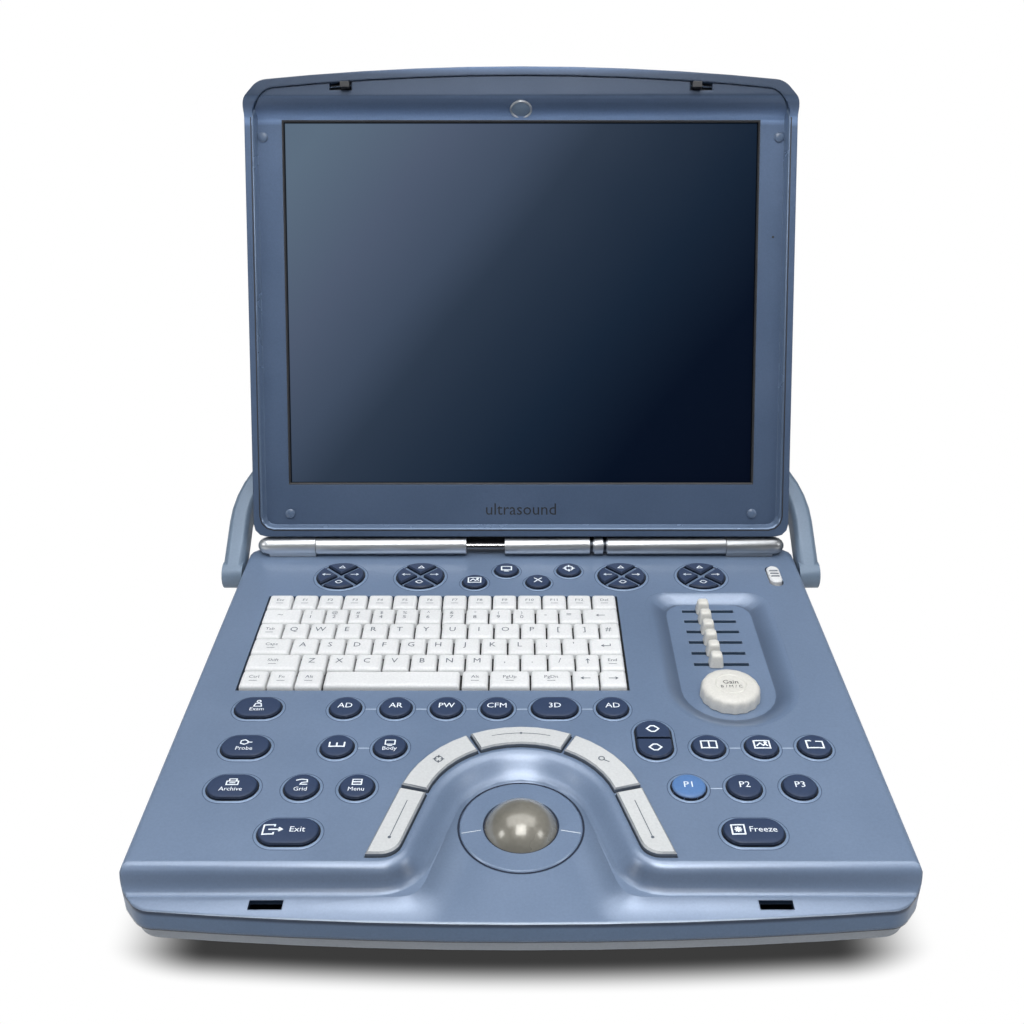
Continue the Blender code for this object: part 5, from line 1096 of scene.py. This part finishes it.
def make_sliders():
    for index in range(1, 7):
        node = "gain_slider_%d" % index
        low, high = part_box(node)
        middle = (low + high) / 2
        half = (high.x - low.x) / 2
        cap = Piece(node + "_cap", node + "_body", CREAM, "key_white")
        rings = []
        for width, rise in SLIDER_PROFILE:
            outline = oval(middle.x, middle.y, half * width, half * width, 20, half * 0.4)
            rings.append([(*point, RECESS_Z + (high.z - RECESS_Z) * rise) for point in outline])
        cap.rings(rings)
        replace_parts(cap.done(0.9), node)


def make_switch_ridges():
    low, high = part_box("power_switch")
    middle = (low + high) / 2
    ridges = Piece("power_switch_ridges", "power_switch_body", TRAY, "tray_grey")
    for index in range(-1, 2):
        rings = []
        for inset, z in ((0.0, high.z - 0.0006), (0.0, high.z + 0.0001), (0.0002, high.z + 0.0003)):
            outline = oval(middle.x, middle.y + index * 0.0032, 0.0027 - inset, 0.0008 - inset, 20)
            rings.append([(*point, z) for point in outline])
        ridges.rings(rings)
    ridges.done(0.6)


# Lid trim

BEAD_STEPS = 6
BEAD_WIDTH = 0.0030
BEAD_LAP = 0.0004
BEAD_PROBE = 0.0022
BEAD_INNER = 0.0080
BEAD_SINK = 0.0004
BEAD_SKIP = 0.0020
GROOVE_OUT = 0.0016
GROOVE_WIDTH = 0.0007


def lid_surface():
    """Ray caster on the lid's front pieces, in the lid's own frame."""
    inverse = LID.inverted()
    trees = []
    for node in ("lid_bezel", "lid_cover"):
        mesh = NODES[node].data
        points = [inverse @ vert.co for vert in mesh.vertices]
        trees.append(BVHTree.FromPolygons(points, [tuple(face.vertices) for face in mesh.polygons]))

    def find(x, y):
        hits = [tree.ray_cast(Vector((x, y, 0.05)), Vector((0, 0, -1))) for tree in trees]
        return max((hit for hit in hits if hit[0]), key=lambda hit: hit[0].z)

    return find


def make_lid_trim():
    find = lid_surface()
    bumpers = Piece("lid_bumpers", "lid", BUMPER, "handle_blue", LID)
    for x, y in ((0.162, 0.2585), (0.1496, 0.021)):
        for side in (-1, 1):
            z = find(side * x, y)[0].z
            rings = []
            for radius, rise in ((0.0031, -0.0002), (0.0031, 0.0006), (0.0026, 0.0010), (0.0014, 0.00125),
                                 (0.0005, 0.0013)):
                rings.append([(*point, z + rise) for point in oval(side * x, y, radius, radius, 28)])
            bumpers.rings(rings)
    bumpers.done(0.7)
    place, normal = find(0.0, 0.2745)[:2]
    tilt = Vector((0, 0, 1)).rotation_difference(normal).to_matrix().to_4x4()
    seat = LID @ Matrix.Translation(place) @ tilt
    for name, finish, slot, profile in (
            ("lid_badge_ring", SILVER, "hinge_silver", ((0.0070, -0.0010), (0.0070, 0.0007), (0.0066, 0.0011),
                                                        (0.0060, 0.0010), (0.0056, 0.0003))),
            ("lid_badge_disc", HANDLE, "handle_blue", ((0.0057, -0.0010), (0.0057, 0.0004), (0.0052, 0.0006),
                                                       (0.0020, 0.0008)))):
        badge = Piece(name, "lid", finish, slot, seat)
        rings = []
        for radius, rise in profile:
            rings.append([(*point, rise) for point in oval(0.0, 0.0, radius, radius, 40)])
        badge.rings(rings, cap=name.endswith("disc"))
        badge.done(0.5)
    holes = Piece("lid_dark_marks", "lid", BLACK_INK, "dark_plastic", LID)
    # Black disc as painted shade of the mic hole.
    holes.disc(0.1596, 0.197, find(0.1596, 0.197)[0].z + LINE_LIFT, 0.0008)
    holes.text("ultrasound", 0.0108, 0.0, 0.0235, find(0.0, 0.0235)[0].z + LINE_LIFT)
    holes.done()
    lip = Piece("screen_lip", "lid", DARK, "dark_plastic", LID)
    half, low, high = 0.150, 0.040, 0.2688
    z = find(half + 0.003, 0.15)[0].z
    rings = []
    for inset, drop in ((-0.0003, -0.0003), (-0.0001, 0.00012), (0.0003, 0.0001), (0.0011, -0.0008)):
        rings.append([(-half + inset, low + inset, z + drop), (half - inset, low + inset, z + drop),
                      (half - inset, high - inset, z + drop), (-half + inset, high - inset, z + drop)])
    lip.rings(rings, cap=False)
    lip.done(0.2)


def make_lid_bead():
    """Rounded step from the lid's rim down to the bezel, and a flat dark strip round it as painted shade of a
    groove.
    """
    find = lid_surface()
    inverse = LID.inverted()
    corners = [(inverse @ vert.co).xy for vert in NODES["lid_bezel"].data.vertices]
    hull = [tuple(corners[index]) for index in convex_hull_2d(corners)]
    path = [Vector(point) for point in finer(hull, True, 0.003)]
    count = len(path)
    outward = []
    for index in range(count):
        along = (path[(index + 1) % count] - path[index - 1]).normalized()
        outward.append(Vector((along.y, -along.x)))
    rims = [find(*(point + out * BEAD_PROBE))[0].z for point, out in zip(path, outward)]
    level = sorted(rims)[count // 2]
    lows = [find(*(point - out * BEAD_INNER))[0].z for point, out in zip(path, outward)]
    bead = Piece("lid_bead", "lid", RIM_GLOSS, "lid_blue", LID)
    # Painted shade: a flat dark strip on the rim where a groove runs.
    groove = Piece("lid_groove_shade", "lid", DARK, "dark_plastic", LID)
    sections = []
    for index, (point, out) in enumerate(zip(path, outward)):
        low = sorted(lows[(index + step) % count] for step in (-1, 0, 1))[1]
        section = []
        for step in range(BEAD_STEPS + 1):
            share = step / BEAD_STEPS
            place = point + out * (BEAD_LAP - BEAD_WIDTH * share)
            fall = (low - BEAD_SINK - level) * share * share * (3 - 2 * share)
            section.append((*place, level + LINE_LIFT + fall))
        sections.append(section)
    for index in range(count):
        after = (index + 1) % count
        if min(rims[index], rims[after]) < level - BEAD_SKIP:
            continue
        for step in range(BEAD_STEPS):
            bead.face((sections[index][step], sections[after][step], sections[after][step + 1],
                       sections[index][step + 1]))
        ends = []
        for place in (GROOVE_OUT, GROOVE_OUT - GROOVE_WIDTH):
            for end in (index, after):
                ends.append((*(path[end] + outward[end] * place), level + LINE_LIFT))
        groove.face((ends[0], ends[1], ends[3], ends[2]))
    bead.done(0.9)
    groove.done()


# Web in section: height and depth from the hinge's axis, in the lid's own frame
WEB_PROFILE = ((0.0068, -0.0030), (0.0045, -0.0040), (0.0010, -0.0042), (-0.0020, -0.0040))
WEB_HALF = 0.133


def make_hinge_web():
    """Dark strip of the lid behind the hinge's shaft, that closes the gap there; its dark colour is painted shade.
    """
    web = Piece("hinge_web", "lid", DARK, "dark_plastic", LID)
    for first, second in zip(WEB_PROFILE, WEB_PROFILE[1:]):
        web.face([(-WEB_HALF, *first), (WEB_HALF, *first), (WEB_HALF, *second), (-WEB_HALF, *second)])
    web.done(0.9)


# Case

SEAM_BACK = 0.06
SEAM_HIGH = 0.0004


def make_case_seam():
    """Dark strip along the foot of the panel, round the front and the sides: partly the joint with the tray,
    partly painted shade under the panel's lower edge.
    """
    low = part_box("top_panel")[0].z
    corners = [vert.co.xy for vert in NODES["top_panel"].data.vertices if vert.co.z < low + SEAM_HIGH]
    path = [corners[index] for index in convex_hull_2d(corners)]
    seam = Piece("case_seam", "base", BLACK_INK, "dark_plastic")
    count = len(path)
    for index, point in enumerate(path):
        after = path[(index + 1) % count]
        if max(point.y, after.y) > SEAM_BACK:
            continue
        along = (after - point).normalized()
        out = Vector((along.y, -along.x)) * INK_LIFT
        first, second = point + out, after + out
        seam.face(((*first, low - SEAM_HIGH), (*second, low - SEAM_HIGH), (*second, low), (*first, low)))
    seam.done()


# Hidden sides: hatch and screws under the tray, contacts in the sockets

SCREWS = ((-0.120, -0.178), (0.0, -0.178), (0.120, -0.178), (-0.155, -0.050), (0.155, -0.050),
          (-0.120, 0.070), (0.0, 0.070), (0.120, 0.070))
# Screw head in section: radius, height below the tray
SCREW_PROFILE = ((0.0034, -0.0001), (0.0033, 0.0005), (0.0030, 0.0008), (0.0018, 0.0010))
HATCH_MARGIN = 0.008
HATCH_CORNER = 0.006
HATCH_LINE = 0.0007
GRIP_RIBS = 5
GRIP_PITCH = 0.0030


def make_underside():
    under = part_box("bottom_tray")[0].z
    heads = Piece("tray_screws", "base", STEEL, "steel")
    dark = Piece("tray_dark_marks", "base", BLACK_INK, "dark_plastic")
    for x, y in SCREWS:
        rings = []
        for radius, drop in SCREW_PROFILE:
            rings.append([(*point, under - drop) for point in reversed(oval(x, y, radius, radius, 28))])
        heads.rings(rings)
        # Black slits on the screw heads: painted shade of their slots.
        for half_x, half_y in ((0.0015, 0.0003), (0.0003, 0.0015)):
            slit = oval(x, y, half_x, half_y, 12, 0.0001)
            dark.face([(*point, under - 0.00107) for point in reversed(slit)])
    low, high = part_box("battery_pack")
    middle = (low + high) / 2
    half = (high - low) / 2
    edge = []
    for grow in (HATCH_MARGIN, HATCH_MARGIN - HATCH_LINE):
        outline = oval(middle.x, middle.y, half.x + grow, half.y + grow, 48, HATCH_CORNER)
        edge.append([(*point, under - INK_LIFT) for point in outline])
    dark.band(*edge)
    heads.done(0.6)
    dark.done()
    grip = Piece("battery_hatch_grip", "base", TRAY, "tray_grey")
    for index in range(GRIP_RIBS):
        y = high.y + GRIP_PITCH * (index - GRIP_RIBS)
        rings = []
        for inset, drop in ((0.0, -0.0001), (0.0, 0.0003), (0.0003, 0.0006)):
            outline = oval(middle.x, y, 0.012 - inset, 0.0009 - inset, 20)
            rings.append([(*point, under - drop) for point in reversed(outline)])
        grip.rings(rings)
    grip.done(0.6)


def add_block(piece, low, high):
    """Box with its long edges eased, from its lower corner to its upper one."""
    ease = min(high[1] - low[1], high[2] - low[2]) * 0.25
    ring = [(low[1] + ease, low[2]), (high[1] - ease, low[2]), (high[1], low[2] + ease),
            (high[1], high[2] - ease), (high[1] - ease, high[2]), (low[1] + ease, high[2]),
            (low[1], high[2] - ease), (low[1], low[2] + ease)]
    piece.rings([[(x, *point) for point in ring] for x in (low[0], high[0])])
    piece.face([(low[0], *point) for point in reversed(ring)])


def hits(node, start, way):
    mesh = NODES[node].data
    tree = BVHTree.FromPolygons([vert.co.copy() for vert in mesh.vertices],
                                [tuple(face.vertices) for face in mesh.polygons])
    return lambda x, z: tree.ray_cast(Vector((x, start, z)), Vector((0, way, 0)))[0]


def spans(values, inside):
    """Runs of neighbouring values that lie inside."""
    runs = []
    for value in values:
        if not inside(value):
            runs.append([])
        elif runs:
            runs[-1].append(value)
    return [(run[0], run[-1]) for run in runs if len(run) > 3]


PIN_ROWS = 3
PIN_COLUMNS = 22
PIN_PITCH = 0.0021
PIN_HALF = 0.00045
PIN_LONG = 0.0045
SOCKET_FLOOR = 0.0120
PORT_DEPTH = 0.0080
PORT_STEP = 0.0004


def make_contacts():
    low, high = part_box("probe_socket")
    middle = (low + high) / 2
    foot = high.x - SOCKET_FLOOR
    pins = Piece("probe_contacts", "base", STEEL, "steel")
    for row in range(PIN_ROWS):
        for column in range(PIN_COLUMNS):
            y = middle.y + PIN_PITCH * (column - (PIN_COLUMNS - 1) / 2)
            z = middle.z + PIN_PITCH * 1.2 * (row - (PIN_ROWS - 1) / 2)
            add_block(pins, (foot - 0.0002, y - PIN_HALF, z - PIN_HALF),
                      (foot + PIN_LONG, y + PIN_HALF, z + PIN_HALF))
    pins.done()
    low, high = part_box("rear_connectors")
    middle = (low + high) / 2
    hit = hits("rear_connectors", high.y + 0.02, -1)

    def open_at(x, z):
        place = hit(x, z)
        return place is not None and place.y < high.y - PORT_DEPTH / 2

    across = [low.x + PORT_STEP * step for step in range(int((high.x - low.x) / PORT_STEP) + 1)]
    upward = [low.z + PORT_STEP * step for step in range(int((high.z - low.z) / PORT_STEP) + 1)]
    tongues = Piece("rear_tongues", "base", DARK, "dark_plastic")
    strips = Piece("rear_contacts", "base", STEEL, "steel")
    for left, right in spans(across, lambda x: open_at(x, middle.z)):
        x = (left + right) / 2
        half = (right - left) * 0.36
        for bottom, top in spans(upward, lambda z: open_at(x, z)):
            z = (bottom + top) / 2
            rise = (top - bottom) * 0.12
            back = high.y - PORT_DEPTH - 0.0002
            add_block(tongues, (x - half, back, z - rise), (x + half, back + PORT_DEPTH * 0.75, z + rise))
            for index in range(4):
                spot = x + half * (index - 1.5) * 0.45
                add_block(strips, (spot - half * 0.09, back + 0.001, z + rise - 0.0001),
                          (spot + half * 0.09, back + PORT_DEPTH * 0.7, z + rise + 0.0002))
    tongues.done()
    strips.done()


finish_nodes()
make_case_seam()
make_underside()
make_contacts()
make_key_details()
make_keyboard()
make_arc_marks(make_trackball())
make_knob()
make_sliders()
make_switch_ridges()
make_lid_trim()
make_lid_bead()
make_hinge_web()

# Camera
camera_data = bpy.data.cameras.new("camera")
camera_data.sensor_width = 36.0
camera_data.lens = 39.73
camera_data.shift_x = -0.0088
camera = bpy.data.objects.new("camera", camera_data)
camera.location = (0.0, HINGE.y - 0.6385, PANEL_Z + 0.3733)
camera.rotation_euler = (math.radians(61.8), 0.0, 0.0)
bpy.context.scene.collection.objects.link(camera)
bpy.context.scene.camera = camera


# Floor and light

SHADOW_FRONT = 0.0122
SHADOW_SIDE = 0.035
FADE_FRONT = 0.0192
FADE_SIDE = 0.050
SHADOW_BOW = 0.005
SHADOW_CORE = 0.045


def make_floor():
    """White floor to the camera, with a soft contact shadow round the tray's outline."""
    g = Graph("floor")
    low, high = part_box("bottom_tray")
    half_x = (high.x - low.x) / 2 - SHADOW_SIDE
    front = low.y + SHADOW_FRONT
    half_y = (high.y - front) / 2
    x = g.axis(g.coords, "X")
    bow = g.math("MULTIPLY", g.math("POWER", g.math("DIVIDE", x, half_x), 2.0), SHADOW_BOW)
    y = g.math("SUBTRACT", g.math("SUBTRACT", g.axis(g.coords, "Y"), bow), front + half_y)
    out_x = g.math("MAXIMUM", g.math("SUBTRACT", g.math("ABSOLUTE", x), half_x), 0.0)
    out_y = g.math("MAXIMUM", g.math("SUBTRACT", g.math("ABSOLUTE", y), half_y), 0.0)
    share_x = g.math("POWER", g.math("DIVIDE", out_x, FADE_SIDE), 2.0)
    share_y = g.math("POWER", g.math("DIVIDE", out_y, FADE_FRONT), 2.0)
    away = g.math("SQRT", g.math("ADD", share_x, share_y))
    wide = g.remap(away, 0.0, 1.0, 0.0, 1.0, "SMOOTHSTEP")
    light = g.remap(g.math("POWER", wide, 1.4), 0.0, 1.0, SHADOW_CORE, 1.0)
    diffuse = g.add("ShaderNodeBsdfDiffuse")
    tone = g.remap(g.noise(6.0, 3.0), 0.3, 0.7, 0.80, 0.82)
    g.put(diffuse.inputs["Color"], g.mix(1.0, (1.0, 1.0, 1.0), tone, "MULTIPLY"))
    white = g.add("ShaderNodeEmission")
    g.put(white.inputs["Strength"], light)
    path = g.add("ShaderNodeLightPath")
    both = g.add("ShaderNodeMixShader")
    g.put(both.inputs[0], path.outputs["Is Camera Ray"])
    g.put(both.inputs[1], diffuse.outputs[0])
    g.put(both.inputs[2], white.outputs[0])
    g.put(g.out.inputs["Surface"], both.outputs[0])
    mesh = bpy.data.meshes.new("floor")
    reach = 30.0
    mesh.from_pydata([(-reach, -reach, 0), (reach, -reach, 0), (reach, reach, 0), (-reach, reach, 0)], [],
                     [(0, 1, 2, 3)])
    mesh.materials.append(g.material)
    floor = bpy.data.objects.new("floor", mesh)
    bpy.context.scene.collection.objects.link(floor)


def make_world():
    world = bpy.data.worlds.new("studio")
    bpy.context.scene.world = world
    world.use_nodes = True
    tree = world.node_tree
    tree.nodes.clear()
    out = tree.nodes.new("ShaderNodeOutputWorld")
    room = tree.nodes.new("ShaderNodeBackground")
    room.inputs["Color"].default_value = (0.90, 0.94, 1.0, 1.0)
    sky = tree.nodes.new("ShaderNodeTexCoord")
    split = tree.nodes.new("ShaderNodeSeparateXYZ")
    fade = tree.nodes.new("ShaderNodeMapRange")
    for socket, value in zip(fade.inputs[1:5], (-0.05, 0.9, 0.07, 0.32)):
        socket.default_value = value
    tree.links.new(sky.outputs["Generated"], split.inputs[0])
    tree.links.new(split.outputs["Z"], fade.inputs["Value"])
    tree.links.new(fade.outputs["Result"], room.inputs["Strength"])
    white = tree.nodes.new("ShaderNodeBackground")
    white.inputs["Color"].default_value = (1.0, 1.0, 1.0, 1.0)
    path = tree.nodes.new("ShaderNodeLightPath")
    mix = tree.nodes.new("ShaderNodeMixShader")
    tree.links.new(path.outputs["Is Camera Ray"], mix.inputs[0])
    tree.links.new(room.outputs[0], mix.inputs[1])
    tree.links.new(white.outputs[0], mix.inputs[2])
    tree.links.new(mix.outputs[0], out.inputs["Surface"])


def softbox(name, place, target, width, height, power, color=(1.0, 1.0, 1.0)):
    data = bpy.data.lights.new(name, "AREA")
    data.shape = "RECTANGLE"
    data.size = width
    data.size_y = height
    data.energy = power
    data.color = color
    item = bpy.data.objects.new(name, data)
    item.location = place
    item.rotation_euler = (Vector(target) - Vector(place)).to_track_quat("-Z", "Y").to_euler()
    bpy.context.scene.collection.objects.link(item)


make_floor()
make_world()
softbox("top_light", (0.0, 0.15, 1.9), (0.0, 0.0, 0.0), 2.8, 1.2, 25.0)
softbox("key_light", (0.0, -0.75, 1.55), (0.0, -0.15, 0.05), 0.8, 0.8, 16.0)
softbox("left_light", (-1.36, -0.53, 0.85), (0.0, -0.15, 0.05), 0.4, 0.4, 3.0)
softbox("right_light", (1.36, -0.53, 0.85), (0.0, -0.15, 0.05), 0.4, 0.4, 3.0)
bpy.context.scene.view_settings.view_transform = "Standard"
